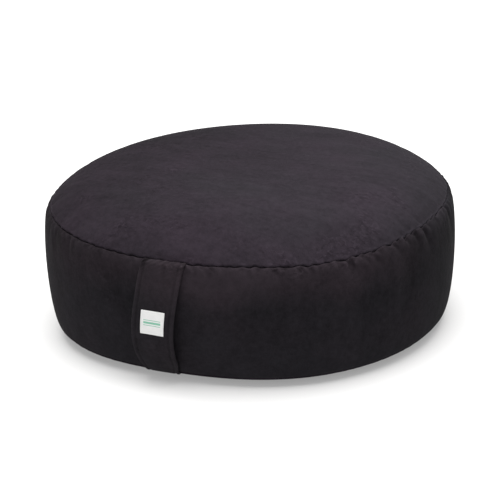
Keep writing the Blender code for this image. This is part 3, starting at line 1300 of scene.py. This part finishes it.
    def smoothed_round(self, values: np.ndarray) -> np.ndarray:
        """Values averaged round each ring, over a window that keeps the broad form.

        Args:
            values: vectors by ring and column.

        Returns:
            The same shape, without waves shorter than about a twelfth of the ring.
        """
        spectrum = np.fft.rfft(values, axis=1)
        waves = np.arange(spectrum.shape[1])
        keep = 1.0 / (1.0 + (waves / self.broad_waves) ** self.broad_sharpness)
        return np.fft.irfft(spectrum * keep[None, :, None], n=self.columns, axis=1)

    def refine(self) -> None:
        """Halve the skin's cells, round the rings and along the section."""
        self.grid = refined(refined(self.grid).swapaxes(0, 1), closed=True).swapaxes(0, 1)
        self.from_top = refined(self.from_top)
        self.from_foot = refined(self.from_foot)
        self.columns *= 2
        self.top_seam *= 2
        self.foot_seam *= 2

    def pucker_strength(self, around: float) -> float:
        """How deep the fine creases are at a place: deepest to the right of the strap.

        Args:
            around: degrees round the cushion.

        Returns:
            A share of their full depth.
        """
        first, last = self.puckered
        usual, leftmost = self.pucker_shares
        if first < around < last:
            return 1.0
        return usual if around < self.puckered_until else leftmost

    def creases(self) -> list[Gather]:
        """Sharp creases beside the top seam: one in each gather, and small ones in between.

        Returns:
            The creases, with sizes in mm.
        """
        shortest, share = self.sharp_run
        sharp = []
        for gather in self.form.gathers:
            depth, width = self.sharp_depth * gather.depth, self.sharp_width * gather.width
            sharp.append(Gather(gather.around, depth, width, shortest + share * gather.run, gather.lean))
        rng = np.random.default_rng(self.seed)
        around = 0.0
        while around < 360.0:
            depth = self.pucker_strength(around) * rng.uniform(*self.fine_depth)
            width = rng.uniform(*self.fine_width)
            run = rng.uniform(*self.fine_run)
            sharp.append(Gather(around, depth, width, run, rng.uniform(*self.fine_lean)))
            around += rng.uniform(*self.fine_pitch)
        return sharp

    def add_creases(self) -> None:
        """Crease the cloth beside the top seam, less on the panel than on the band."""
        degrees = self.degrees()
        below = self.from_top[:, None] / MM
        depth = np.zeros(self.grid.shape[:2])
        for crease in self.creases():
            turn = np.mod(degrees - crease.around + 180.0, 360.0) - 180.0
            along = np.radians(turn)[None] * self.form.belly_radius / MM
            near = np.flatnonzero(np.abs(along[0]) < self.crease_reach)
            side = np.abs(along[:, near] - crease.lean * np.maximum(below, 0.0)) / crease.width
            ridges = fading(side - self.crease_ridge_place, self.crease_ridge_width)
            valley = np.exp(-(side**self.crease_sharpness)) - self.crease_ridge * ridges
            band = valley * self.form.dent_along(below, crease.run)
            panel = self.panel_crease * fading(along[:, near], crease.width)
            panel = panel * self.form.dent_along(-below, self.panel_crease_run * crease.run)
            depth[:, near] += crease.depth * np.where(below > 0.0, band, panel)
        depth[self.foot_seam :] = 0.0
        self.crease_depth = depth
        self.grid -= grid_normals(self.grid) * depth[..., None] * MM

    def pull_seams_in(self) -> None:
        """Sink both stitching lines between round lips, deeper in some places than in others."""
        degrees = self.degrees()
        strength = self.seam_wander_least + WANDERING.at(degrees)
        wander = SEAM_WANDER.round(self.columns) * strength * self.seam_wander
        risen = wander - self.seam_drop + LIFTED.at(degrees)
        self.grid[..., 2] += fading(self.from_top, self.seam_wander_reach)[:, None] * risen[None]
        normals = grid_normals(self.grid)
        seams = ((self.top_seam, self.from_top, TOP_PULL), (self.foot_seam, self.from_foot, FOOT_PULL))
        for ring, distances, uneven in seams:
            inward = -unit(normals[ring - 2] + normals[min(ring + 2, len(normals) - 1)])
            pull = self.pull_mean - SOFTLY_PULLED.at(degrees) + self.pull_uneven * uneven.round(self.columns)
            pull = np.clip(pull, 0.0, self.pull_most)
            falloff = fading(distances, self.groove_width)
            self.grid += self.groove * falloff[:, None, None] * pull[None, :, None] * inward[None]

    def press_lips(self) -> None:
        """Press the band's cloth up against the panel's, so that the crease between them is narrow."""
        degrees = self.degrees()
        lip = fading(self.from_top - self.lip_place, self.lip_width) * (self.from_top > 0)
        tight = 1.0 + (self.lip_loose + LOOSE_LIP.at(degrees)) * LIP_TIGHTNESS.round(self.columns)
        rise = np.clip((self.lip_rise + COVERING_LIP.at(degrees)) * tight, 0.0, self.lip_most)
        self.grid[..., 2] += lip[:, None] * rise[None]

    def offset(self, rows: slice, distance: np.ndarray) -> np.ndarray:
        """Some of the rings, moved out along the skin's normals.

        Args:
            rows: which rings.
            distance: how far, for each of these rings.

        Returns:
            The moved points and their painted shade with wear, and crush, by ring and column.
        """
        normals = grid_normals(self.grid)[rows]
        return np.concatenate([self.grid[rows] + normals * distance[:, None, None], self.looks[rows]], -1)


@dataclass(frozen=True)
class NapShadeAndWear:
    """Painted shade and light that follow the cloth's form, with its worn and crushed nap. Creases are in mm,
    places in degrees.
    """

    full_valley: float = 1.2
    full_ridge: float = 0.6
    crease_painted_shade: float = 0.20
    ridge_light: float = 0.24
    rim_painted_shade: float = 0.11
    rim_reach: float = 24 * MM
    rim_turns_at: float = -9.0
    rim_turns_over: float = 12.0
    right_rim_painted_shade: float = 0.13
    right_rim_reach: float = 48 * MM
    lip_painted_shade: float = 0.20
    lip_place: float = 2.5 * MM
    lip_width: float = 3 * MM
    lip_until: float = 36.0
    lip_ends_over: float = 5.0
    far_end_painted_light: float = 0.7
    far_end_place: float = 4 * MM
    far_end_width: float = 9 * MM
    groove_width: float = 1.5 * MM
    vague_painted_light: float = 0.9
    dash_painted_light: float = 0.7
    dash_gain: float = 1.6
    crush_least: float = 0.25
    crush_on_panel: float = 45 * MM
    crush_on_band: float = 12 * MM

    def tone(self, skin: Skin, edge: np.ndarray, turned: np.ndarray) -> np.ndarray:
        """How much lighter or darker the nap is painted: painted shade and painted light.

        Args:
            skin: the creased skin.
            edge: each ring's distance from the top seam, below 0 on the panel.
            turned: each column's place, from -180 to 180.

        Returns:
            The tone by ring and column, above 0 where lighter.
        """
        # Painted shade in the creases' valleys; the ridges lighter as worn nap and as painted highlight.
        valley = np.clip(skin.crease_depth / self.full_valley, 0.0, 1.0)
        ridge = np.clip(-skin.crease_depth / self.full_ridge, 0.0, 1.0)
        # Painted shade along the panel's rim beside the top seam, darker to the right and lighter to the
        # left.
        turning = np.tanh((turned - self.rim_turns_at) / self.rim_turns_over)
        rim = self.rim_painted_shade * fading(edge, self.rim_reach) * turning
        right_rim = self.right_rim_painted_shade * RIGHT_END.at(turned) * fading(edge, self.right_rim_reach)
        rim = (rim + right_rim) * (edge < 0.0)
        # Painted shade on the band's lip at the front.
        front_left = 1.0 / (1.0 + np.exp((np.abs(turned) - self.lip_until) / self.lip_ends_over))
        lip = fading(edge - self.lip_place, self.lip_width) * front_left
        # Painted light on the band's folds at the far right end.
        far_end = FAR_END.at(turned) * (edge > 0.0) * fading(edge - self.far_end_place, self.far_end_width)
        # Painted light in the seam's groove, at both ends and in dashes, lifting its shade.
        vague = VAGUE_LEFT.at(turned) + VAGUE_RIGHT.at(turned)
        dashes = np.clip(self.dash_gain * SEAM_DASHES.round(skin.columns), 0.0, 1.0)
        groove = fading(edge, self.groove_width) * (self.vague_painted_light * vague + self.dash_painted_light * dashes)
        creased = self.ridge_light * ridge - self.crease_painted_shade * valley
        return creased - rim - self.lip_painted_shade * lip + self.far_end_painted_light * far_end + groove

    def marks(self, skin: Skin) -> np.ndarray:
        """Note the nap's painted shade and light, darker in a crease and lighter on a ridge, and where it is
        crushed beside the top seam.

        Args:
            skin: the creased skin.

        Returns:
            Painted shade and light with wear, and crush, by ring and column, as in POINT_VALUES.
        """
        edge = skin.from_top[:, None]
        turned = np.mod(skin.degrees() + 180.0, 360.0) - 180.0
        used = self.crush_least + MOST_USED.at(turned)
        reach = np.where(edge < 0.0, self.crush_on_panel, self.crush_on_band)
        return np.stack([self.tone(skin, edge, turned), fading(edge, reach) * used], -1)


@dataclass
class FilledBody:
    """The filling in its skin. Its side is the band."""

    skin: Skin
    name: str = "filled_body"
    fill: float = 0.9
    whole_rings: int = 6

    def build(self) -> bpy.types.Object:
        """Make the body.

        Returns:
            The piece that stands for the cushion's node.
        """
        skin = self.skin
        rings = skin.offset(slice(None), np.zeros(len(skin.grid)))
        first, last = skin.top_seam - self.whole_rings, skin.foot_seam + self.whole_rings
        crown = thinned(rings[:first], THINNED_WITHIN, 2)
        foot = thinned(rings[last:], THINNED_WITHIN, 2)
        piece = finish_cloth(loft(self.name, [*crown, *rings[first:last], *foot]))
        dress(piece, BAND_SUEDE.build())
        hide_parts("cushion")
        return piece


@dataclass
class RoundPanel:
    """A round cloth over the crown or the foot, its edge rolled into the seam."""

    skin: Skin
    name: str
    node: str
    top: bool
    flat: float
    roll: float = 1.3 * MM
    edge_lift: float = 0.25
    edge_thickness: float = 0.12 * MM

    def build(self) -> bpy.types.Object:
        """Make the panel.

        Returns:
            The piece that stands for the panel's node.
        """
        skin = self.skin
        cloth, gap = skin.form.cloth, skin.form.gap
        rows = slice(0, skin.top_seam + 1) if self.top else slice(skin.foot_seam, len(skin.grid))
        edge = -skin.from_top[rows] if self.top else skin.from_foot[rows]
        turn = np.clip(1.0 - edge / self.roll, 0.0, 1.0)
        thick = cloth * np.sqrt(np.maximum(0.0, 1.0 - turn**2))
        lift = gap * np.clip(edge / MM, self.edge_lift, 1.0)
        outer = skin.offset(rows, lift + np.maximum(thick, self.edge_thickness))
        inner = skin.offset(rows, lift)
        outer[..., 2] = np.maximum(outer[..., 2], 0.0)
        outer_rings, inner_rings = thinned(outer, THINNED_WITHIN), thinned(inner, THINNED_WITHIN)
        rings = outer_rings + inner_rings[::-1] if self.top else inner_rings[::-1] + outer_rings
        piece = finish_cloth(loft(self.name, rings))
        dress(piece, PANEL_SUEDE.build())
        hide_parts(self.node)
        return piece


# The strap and its label


@dataclass
class StitchRun:
    """A line of thread stitches that lie on a cloth."""

    name: str
    pitch: float
    length: float
    radius: float
    sides: int = 8
    bend_at: float = 0.25
    slimming: float = 0.45
    dip: float = 1.1
    look_ahead: float = 0.3

    def one_stitch(self) -> bpy.types.Mesh:
        """Model one stitch along X: a short thread with round ends that dip into the cloth.

        Returns:
            Its mesh, to copy to each stitch's place.
        """
        deselect_all()
        bpy.ops.mesh.primitive_cylinder_add(
            vertices=self.sides,
            radius=self.radius,
            depth=self.length,
            end_fill_type="TRIFAN",
            rotation=(0.0, math.pi / 2, 0.0),
        )
        stitch = bpy.context.object
        bpy.ops.object.transform_apply(location=True, rotation=True, scale=True)
        bpy.ops.object.mode_set(mode="EDIT")
        for side in (-1.0, 1.0):
            bpy.ops.mesh.select_all(action="SELECT")
            bend = side * self.length * self.bend_at
            bpy.ops.mesh.bisect(plane_co=(bend, 0.0, 0.0), plane_no=(1.0, 0.0, 0.0))
        bpy.ops.object.mode_set(mode="OBJECT")
        for vertex in stitch.data.vertices:
            share = 2.0 * abs(vertex.co.x) / self.length
            slim = 1.0 - self.slimming * share**4
            vertex.co.y *= slim
            vertex.co.z = vertex.co.z * slim - self.dip * self.radius * share**3
        mesh = stitch.data.copy()
        bpy.data.objects.remove(stitch, do_unlink=True)
        return mesh

    def build(
        self, lines: Sequence[Callable[[float], tuple[Vector, Vector]]], lengths: Sequence[float]
    ) -> bpy.types.Object:
        """Copy the stitch along some lines.

        Args:
            lines: for each line, a function from 0 to 1 that gives a point and the cloth's normal there.
            lengths: the length of each line.

        Returns:
            One object with every stitch.
        """
        stitch = self.one_stitch()
        shape = bmesh.new()
        for line, length in zip(lines, lengths):
            count = max(2, round(length / self.pitch))
            for i in range(count):
                middle = (i + 0.5) / count
                point, normal = line(middle)
                ahead, _ = line(min(1.0, middle + self.look_ahead / count))
                behind, _ = line(max(0.0, middle - self.look_ahead / count))
                run = (ahead - behind).normalized()
                side = normal.cross(run).normalized()
                up = run.cross(side)
                place = Matrix((run, side, up)).transposed().to_4x4()
                place.translation = point
                start = len(shape.verts)
                shape.from_mesh(stitch)
                shape.verts.ensure_lookup_table()
                bmesh.ops.transform(shape, matrix=place, verts=shape.verts[start:])
        mesh = bpy.data.meshes.new(self.name)
        shape.to_mesh(mesh)
        shape.free()
        piece = bpy.data.objects.new(self.name, mesh)
        bpy.context.scene.collection.objects.link(piece)
        make_active(piece)
        bpy.ops.object.shade_smooth()
        return piece


@dataclass(frozen=True)
class StrapShadeAndWear:
    """Painted shade, shadow and highlight on the strap, and its frayed nap. What ends with until is a share
    of the way down the strap.
    """

    stitched_painted_shade: float = 0.20
    stitched_width: float = 0.9 * MM
    rim_painted_highlight: float = 0.08
    rim_place: float = 3.0 * MM
    rim_width: float = 1.4 * MM
    notch_painted_shadow: float = 0.75
    notch_place: float = -19 * MM
    notch_width: float = 2.2 * MM
    notch_until: float = 0.055
    fray_tone: float = 0.16
    fray_width: float = 1.1 * MM
    fray_turns: float = 190.0
    frayed_until: float = 0.075
    turned_in_painted_shade: float = 0.25
    turned_in_until: float = 0.045
    crush: float = 0.8
    crushed_until: float = 0.16


@dataclass
class CarryStrap:
    """A folded strip of cloth, topstitched along both edges and held in both seams."""

    form: SewnForm
    width: float = 42 * MM
    thick: float = 2.5 * MM
    edge_roll: float = 1.25 * MM
    stitch_inset: float = 4.6 * MM
    rows: int = 84
    across_cells: int = 40
    flat: tuple[float, float] = (0.043, 0.136)
    sway: float = 0.4 * MM
    sway_turns: float = 7.0
    sway_start: float = 0.6
    even_rows: float = 0.35
    uneven_rows: float = 0.65
    stitch_count: float = 37.0
    stitch_pull: tuple[float, float] = (0.85, 0.15)
    groove: float = 0.9 * MM
    groove_width: float = 1.0 * MM
    bead: float = 0.15 * MM
    bead_place: float = 2.4 * MM
    bead_width: float = 1.6 * MM
    wave: float = 0.15 * MM
    wave_width: float = 5.5 * MM
    wave_slant: float = 9.0
    wave_turns: float = 21.0
    wave_start: float = 1.0
    frays: float = 0.3 * MM
    fray_width: float = 1.9 * MM
    fray_spread: float = 4.7 * MM
    fray_bend: float = 2.0
    frayed_until: float = 0.07
    tucked_thickness: float = 0.5 * MM
    tucked_until: float = 0.016
    painted_shade_and_wear: StrapShadeAndWear = StrapShadeAndWear()
    stitch_lift: float = 0.08 * MM
    stitched_from: float = 0.03
    stitched_to: float = 0.97
    normal_step: float = 0.01
    side_step: float = 0.5 * MM

    @property
    def stitch_line(self) -> float:
        """Distance of each row of stitches from the strap's middle line."""
        return self.width / 2 - self.stitch_inset

    def outer_height(self, across: np.ndarray, down: np.ndarray) -> np.ndarray:
        """How far the outer face stands off the inner one: soft middle, stitch lines, rolled edges.

        Args:
            across: distances from the strap's middle line.
            down: from 0 at the top seam to 1 at the foot seam.

        Returns:
            The distances.
        """
        from_line = np.abs(across) - self.stitch_line
        mean_pull, uneven_pull = self.stitch_pull
        pull = mean_pull + uneven_pull * np.sin(down * 2 * np.pi * self.stitch_count)
        groove = self.groove * fading(np.abs(from_line), self.groove_width) * pull
        bead = self.bead * fading(from_line - self.bead_place, self.bead_width)
        wave = self.wave * np.sin(across / self.wave_width + self.wave_slant * down)
        wave = wave * np.sin(down * self.wave_turns + self.wave_start)
        threads = np.sin(across / self.fray_width + self.fray_bend * np.sin(across / self.fray_spread))
        frays = self.frays * fading(down, self.frayed_until) * threads
        tuck = (self.thick - self.tucked_thickness) * fading(down, self.tucked_until)
        return self.thick - groove + bead + wave + frays - tuck

    def looks(self, across: np.ndarray, down: np.ndarray) -> np.ndarray:
        """Painted shade and light with wear, and crush, of the strap's cloth.

        Args:
            across: distances from the strap's middle line.
            down: from 0 at the top seam to 1 at the foot seam.

        Returns:
            The two values for each point, as in POINT_VALUES.
        """
        painted_shade_and_wear = self.painted_shade_and_wear
        from_line = np.abs(across) - self.stitch_line
        stitched = fading(from_line, painted_shade_and_wear.stitched_width)
        rim = fading(from_line - painted_shade_and_wear.rim_place, painted_shade_and_wear.rim_width)
        notch = fading(across - painted_shade_and_wear.notch_place, painted_shade_and_wear.notch_width) * fading(down, painted_shade_and_wear.notch_until)
        frayed = fading(down, painted_shade_and_wear.frayed_until) * np.sin(across / painted_shade_and_wear.fray_width + painted_shade_and_wear.fray_turns * down)
        turned_in = fading(down, painted_shade_and_wear.turned_in_until)
        # Painted highlight along the rolled rims; painted shade along the stitching and where the strap turns
        # in at the top; a painted shadow in the notch. The fray's stripes are the cloth's own.
        tone = painted_shade_and_wear.rim_painted_highlight * rim - painted_shade_and_wear.stitched_painted_shade * stitched - painted_shade_and_wear.notch_painted_shadow * notch
        tone = tone + painted_shade_and_wear.fray_tone * frayed - painted_shade_and_wear.turned_in_painted_shade * turned_in
        crush = fading(down, painted_shade_and_wear.crushed_until) * painted_shade_and_wear.crush
        return np.stack([tone, crush], -1)

    def build(self) -> bpy.types.Object:
        """Make the strap.

        Returns:
            The piece that stands for the strap's node.
        """
        half = self.width / 2
        shares = np.linspace(0.0, 1.0, self.rows)
        downs = self.even_rows * shares + self.uneven_rows * (1.0 - np.cos(np.pi * shares)) / 2
        flat_part = half - self.edge_roll
        top = np.linspace(-flat_part, flat_part, self.across_cells)
        bend = np.linspace(np.pi / 2, -np.pi / 2, 7)[1:-1]
        rings, uv = [], []
        for down in downs:
            over = self.outer_height(top, np.full_like(top, down))
            right = over[-1] / 2 + np.sin(bend) * over[-1] / 2
            left = over[0] / 2 - np.sin(bend) * over[0] / 2
            turned = flat_part + np.cos(bend) * self.edge_roll
            across = np.concatenate([top, turned, top[::-1], -turned])
            off = np.concatenate([over, right, np.zeros_like(top), left])
            sway = self.sway * math.sin(down * self.sway_turns + self.sway_start)
            ring = self.form.strap_point(across + sway, np.full_like(across, down), off)
            rings.append(np.concatenate([ring, self.looks(across, np.full_like(across, down))], -1))
            uv.append(np.stack([across / self.width + 0.5, np.full_like(across, down)], -1))
        piece = finish_cloth(loft("carry_strap", rings, np.array(uv), middle=len(rings[0]) - 3), levels=1)
        dress(piece, STRAP_SUEDE.build())
        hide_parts("handle")
        return piece

    def face(self, across: float, down: float, lift: float = 0.0) -> tuple[Vector, Vector]:
        """A point on the outer face and the normal there.

        Args:
            across: distance from the strap's middle line.
            down: from 0 at the top seam to 1 at the foot seam.
            lift: how far above the face the point lies.

        Returns:
            The point and the unit normal.
        """
        step = self.normal_step
        places_across = np.array([across, across + self.side_step, across, across, across])
        places_down = np.array([down, down, min(1.0, down + step), max(0.0, down - step), down])
        off = self.outer_height(places_across[:1], places_down[:1])[0] + lift
        points = self.form.strap_point(places_across, places_down, np.full(5, off))
        normal = unit(np.cross(points[1] - points[4], points[3] - points[2]))
        return Vector(points[0]), Vector(normal)

    def stitching(self) -> bpy.types.Object:
        """Make the topstitching along both edges.

        Returns:
            The piece with every stitch.
        """
        line, first, last = self.stitch_line, self.stitched_from, self.stitched_to
        run = StitchRun("strap_stitching", pitch=3.3 * MM, length=2.5 * MM, radius=0.22 * MM)
        lines = [
            lambda t, side=side: self.face(side * line, first + (last - first) * t, self.stitch_lift)
            for side in (-1.0, 1.0)
        ]
        length = self.form.top_height - self.form.foot_height
        piece = run.build(lines, [length, length])
        dress(piece, DARK_THREAD.build())
        return piece


@dataclass
class WovenLabel:
    """A small square of white woven tape, sewn flat on the strap."""

    strap: CarryStrap
    width: float = 23.2 * MM
    height: float = 23.4 * MM
    thick: float = 0.8 * MM
    offset: float = 0.1 * MM
    drop: float = 0.492
    stand: float = 2.9 * MM
    cells: int = 34
    inset: float = 1.5 * MM
    sewn_dip: float = 0.22 * MM
    sewn_width: float = 0.7 * MM
    ripple: float = 0.12 * MM
    ripple_across: float = 4.0 * MM
    ripple_along: float = 5.0 * MM
    stitch_sink: float = 0.12 * MM
    normal_step: float = 0.5 * MM

    def place(self, across: np.ndarray, along: np.ndarray, off: np.ndarray) -> np.ndarray:
        """Points over the strap, from the label's own middle.

        Args:
            across: distances to the right.
            along: distances down.
            off: heights above the label's inner face.

        Returns:
            The points' coordinates.
        """
        form = self.strap.form
        down = self.drop + along / (form.top_height - form.foot_height)
        return form.strap_point(self.offset + across, down, self.stand + off)

    def build(self) -> bpy.types.Object:
        """Make the label.

        Returns:
            The piece that stands for the label's node.
        """
        half = self.width / 2
        roll = self.thick / 2
        top = np.linspace(-half + roll, half - roll, self.cells)
        bend = np.linspace(np.pi / 2, -np.pi / 2, 5)[1:-1]
        turned = half - roll + np.cos(bend) * roll
        across = np.concatenate([top, turned, top[::-1], -turned])
        rings, uv = [], []
        for along in np.linspace(-self.height / 2, self.height / 2, self.cells + 1):
            to_edge = np.minimum(half - np.abs(top), self.height / 2 - abs(along))
            sewn = self.sewn_dip * fading(to_edge - self.inset, self.sewn_width)
            ripple = self.ripple * np.sin(top / self.ripple_across) * math.sin(along / self.ripple_along)
            over = self.thick - sewn + ripple
            rise = np.sin(bend) * roll
            off = np.concatenate([over, roll + rise, np.zeros_like(top), roll - rise])
            rings.append(self.place(across, np.full_like(across, along), off))
            up = np.full_like(across, 0.5 - along / self.height)
            uv.append(np.stack([across / self.width + 0.5, up], -1))
        piece = finish_cloth(loft("woven_label", rings, np.array(uv), middle=len(rings[0]) - 2), levels=1)
        dress(piece, TapeFinish("label_tape").build())
        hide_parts("label")
        return piece

    def stitching(self) -> bpy.types.Object:
        """Make the stitches that hold the label, along its four sides.

        Returns:
            The piece with every stitch.
        """
        right, low = self.width / 2 - self.inset, self.height / 2 - self.inset
        corners = [(-right, -low), (right, -low), (right, low), (-right, low)]
        lines, lengths = [], []
        for start, end in zip(corners, corners[1:] + corners[:1]):
            (x0, y0), (x1, y1) = start, end
            lines.append(
                lambda t, x0=x0, y0=y0, x1=x1, y1=y1: self.face(x0 + (x1 - x0) * t, y0 + (y1 - y0) * t)
            )
            lengths.append(math.hypot(x1 - x0, y1 - y0))
        run = StitchRun("label_stitching", pitch=2.4 * MM, length=1.8 * MM, radius=0.2 * MM)
        piece = run.build(lines, lengths)
        dress(piece, WHITE_THREAD.build())
        return piece

    def face(self, across: float, along: float) -> tuple[Vector, Vector]:
        """A point just over the label's outer face, and the normal there.

        Args:
            across: distance to the right of the label's middle.
            along: distance down from it.

        Returns:
            The point and the unit normal.
        """
        step = self.normal_step
        shifts = np.array([[0.0, 0.0], [step, 0.0], [0.0, step]])
        off = np.full(3, self.thick - self.stitch_sink)
        points = self.place(across + shifts[:, 0], along + shifts[:, 1], off)
        normal = unit(np.cross(points[1] - points[0], points[0] - points[2]))
        return Vector(points[0]), Vector(normal)


# The studio


@dataclass(frozen=True)
class SoftLight:
    """A square soft light: where it hangs, its side, its power and what it faces."""

    name: str
    place: tuple[float, float, float]
    size: float
    watts: float
    tint: tuple[float, float, float] = (1.0, 1.0, 1.0)
    aim: tuple[float, float, float] = (0.0, 0.0, 0.060)


OVERHEAD = SoftLight("overhead", place=(0.05, -0.1, 2.3), size=2.2, watts=112.0, tint=(1.0, 0.99, 0.98))
BACKGROUND = SoftLight("background", place=(-1.0, 2.1, 1.7), size=1.6, watts=45.0, aim=(-1.3, 2.7, 0.0))


@dataclass
class Studio:
    """Pale floor, soft light and the photograph's viewpoint."""

    elevation: float = 20.47
    azimuth: float = 25.8
    roll: float = 2.21
    distance: float = 1.5
    aim: tuple[float, float, float] = (0.0, 0.0, 0.060)
    focal_pixels: float = 1488.0
    aim_pixel: tuple[float, float] = (252.87, 254.44)
    picture: float = 500.0
    sensor: float = 36.0
    clip: tuple[float, float] = (0.05, 50.0)
    floor_size: float = 16.0
    surrounding_light: float = 0.65
    lights: tuple[SoftLight, ...] = (OVERHEAD, BACKGROUND)

    def build_camera(self) -> None:
        """Place the camera so that the aim falls on its pixel, and make it the scene's."""
        elevation, azimuth, roll = (math.radians(a) for a in (self.elevation, self.azimuth, self.roll))
        level = math.cos(elevation)
        back = Vector((math.sin(azimuth) * level, -math.cos(azimuth) * level, math.sin(elevation)))
        level_right = Vector((math.cos(azimuth), math.sin(azimuth), 0.0))
        level_up = back.cross(level_right)
        right = level_right * math.cos(roll) - level_up * math.sin(roll)
        up = level_right * math.sin(roll) + level_up * math.cos(roll)
        position = Vector(self.aim) + back * self.distance
        middle = self.picture / 2
        aside = (self.aim_pixel[0] - middle) / self.focal_pixels
        below = (self.aim_pixel[1] - middle) / self.focal_pixels
        back = (back + right * aside - up * below).normalized()
        right = (right - back * right.dot(back)).normalized()
        up = back.cross(right)
        lens = bpy.data.cameras.new("camera")
        lens.sensor_width = self.sensor
        lens.lens = self.sensor * self.focal_pixels / self.picture
        lens.clip_start, lens.clip_end = self.clip
        camera = bpy.data.objects.new("camera", lens)
        pose = Matrix((right, up, back)).transposed().to_4x4()
        pose.translation = position
        camera.matrix_world = pose
        bpy.context.scene.collection.objects.link(camera)
        bpy.context.scene.camera = camera

    def add_light(self, soft: SoftLight) -> None:
        """Hang a square soft light.

        Args:
            soft: the light.
        """
        lamp = bpy.data.lights.new(soft.name, "AREA")
        lamp.shape = "SQUARE"
        lamp.size = soft.size
        lamp.energy = soft.watts
        lamp.color = soft.tint
        light = bpy.data.objects.new(soft.name, lamp)
        towards = Vector(soft.aim) - Vector(soft.place)
        light.location = soft.place
        light.rotation_euler = towards.to_track_quat("-Z", "Y").to_euler()
        bpy.context.scene.collection.objects.link(light)

    def build(self) -> None:
        """Make the floor, the lights and the camera."""
        deselect_all()
        bpy.ops.mesh.primitive_plane_add(size=self.floor_size, location=(0.0, 0.0, 0.0))
        floor = bpy.context.object
        floor.name = "studio_floor"
        floor.data.materials.append(FloorFinish().build())
        for soft in self.lights:
            self.add_light(soft)
        world = bpy.data.worlds.new("studio")
        world.use_nodes = True
        world.node_tree.nodes["Background"].inputs["Color"].default_value = (1.0, 1.0, 1.0, 1.0)
        world.node_tree.nodes["Background"].inputs["Strength"].default_value = self.surrounding_light
        bpy.context.scene.world = world
        bpy.context.scene.view_settings.view_transform = "Standard"
        self.build_camera()


def report(piece: bpy.types.Object) -> None:
    """Log a piece's name and how many faces it has."""
    LOG.info("%s: %d faces", piece.name, len(piece.data.polygons))


def main() -> None:
    """Build every piece of the cushion, then its studio."""
    logging.basicConfig(level=logging.INFO, format="%(message)s")
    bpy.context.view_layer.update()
    form = SewnForm()
    skin = Skin(form)
    report(FilledBody(skin).build())
    report(RoundPanel(skin, "top_cloth", "top_panel", top=True, flat=0.40).build())
    report(RoundPanel(skin, "bottom_cloth", "bottom_panel", top=False, flat=0.385).build())
    strap = CarryStrap(form)
    strap_piece = strap.build()
    strap_stitches = strap.stitching()
    report(strap_piece)
    report(strap_stitches)
    label = WovenLabel(strap)
    label_piece = label.build()
    label_stitches = label.stitching()
    report(label_piece)
    report(label_stitches)
    Studio().build()


if __name__ == "__main__":
    main()
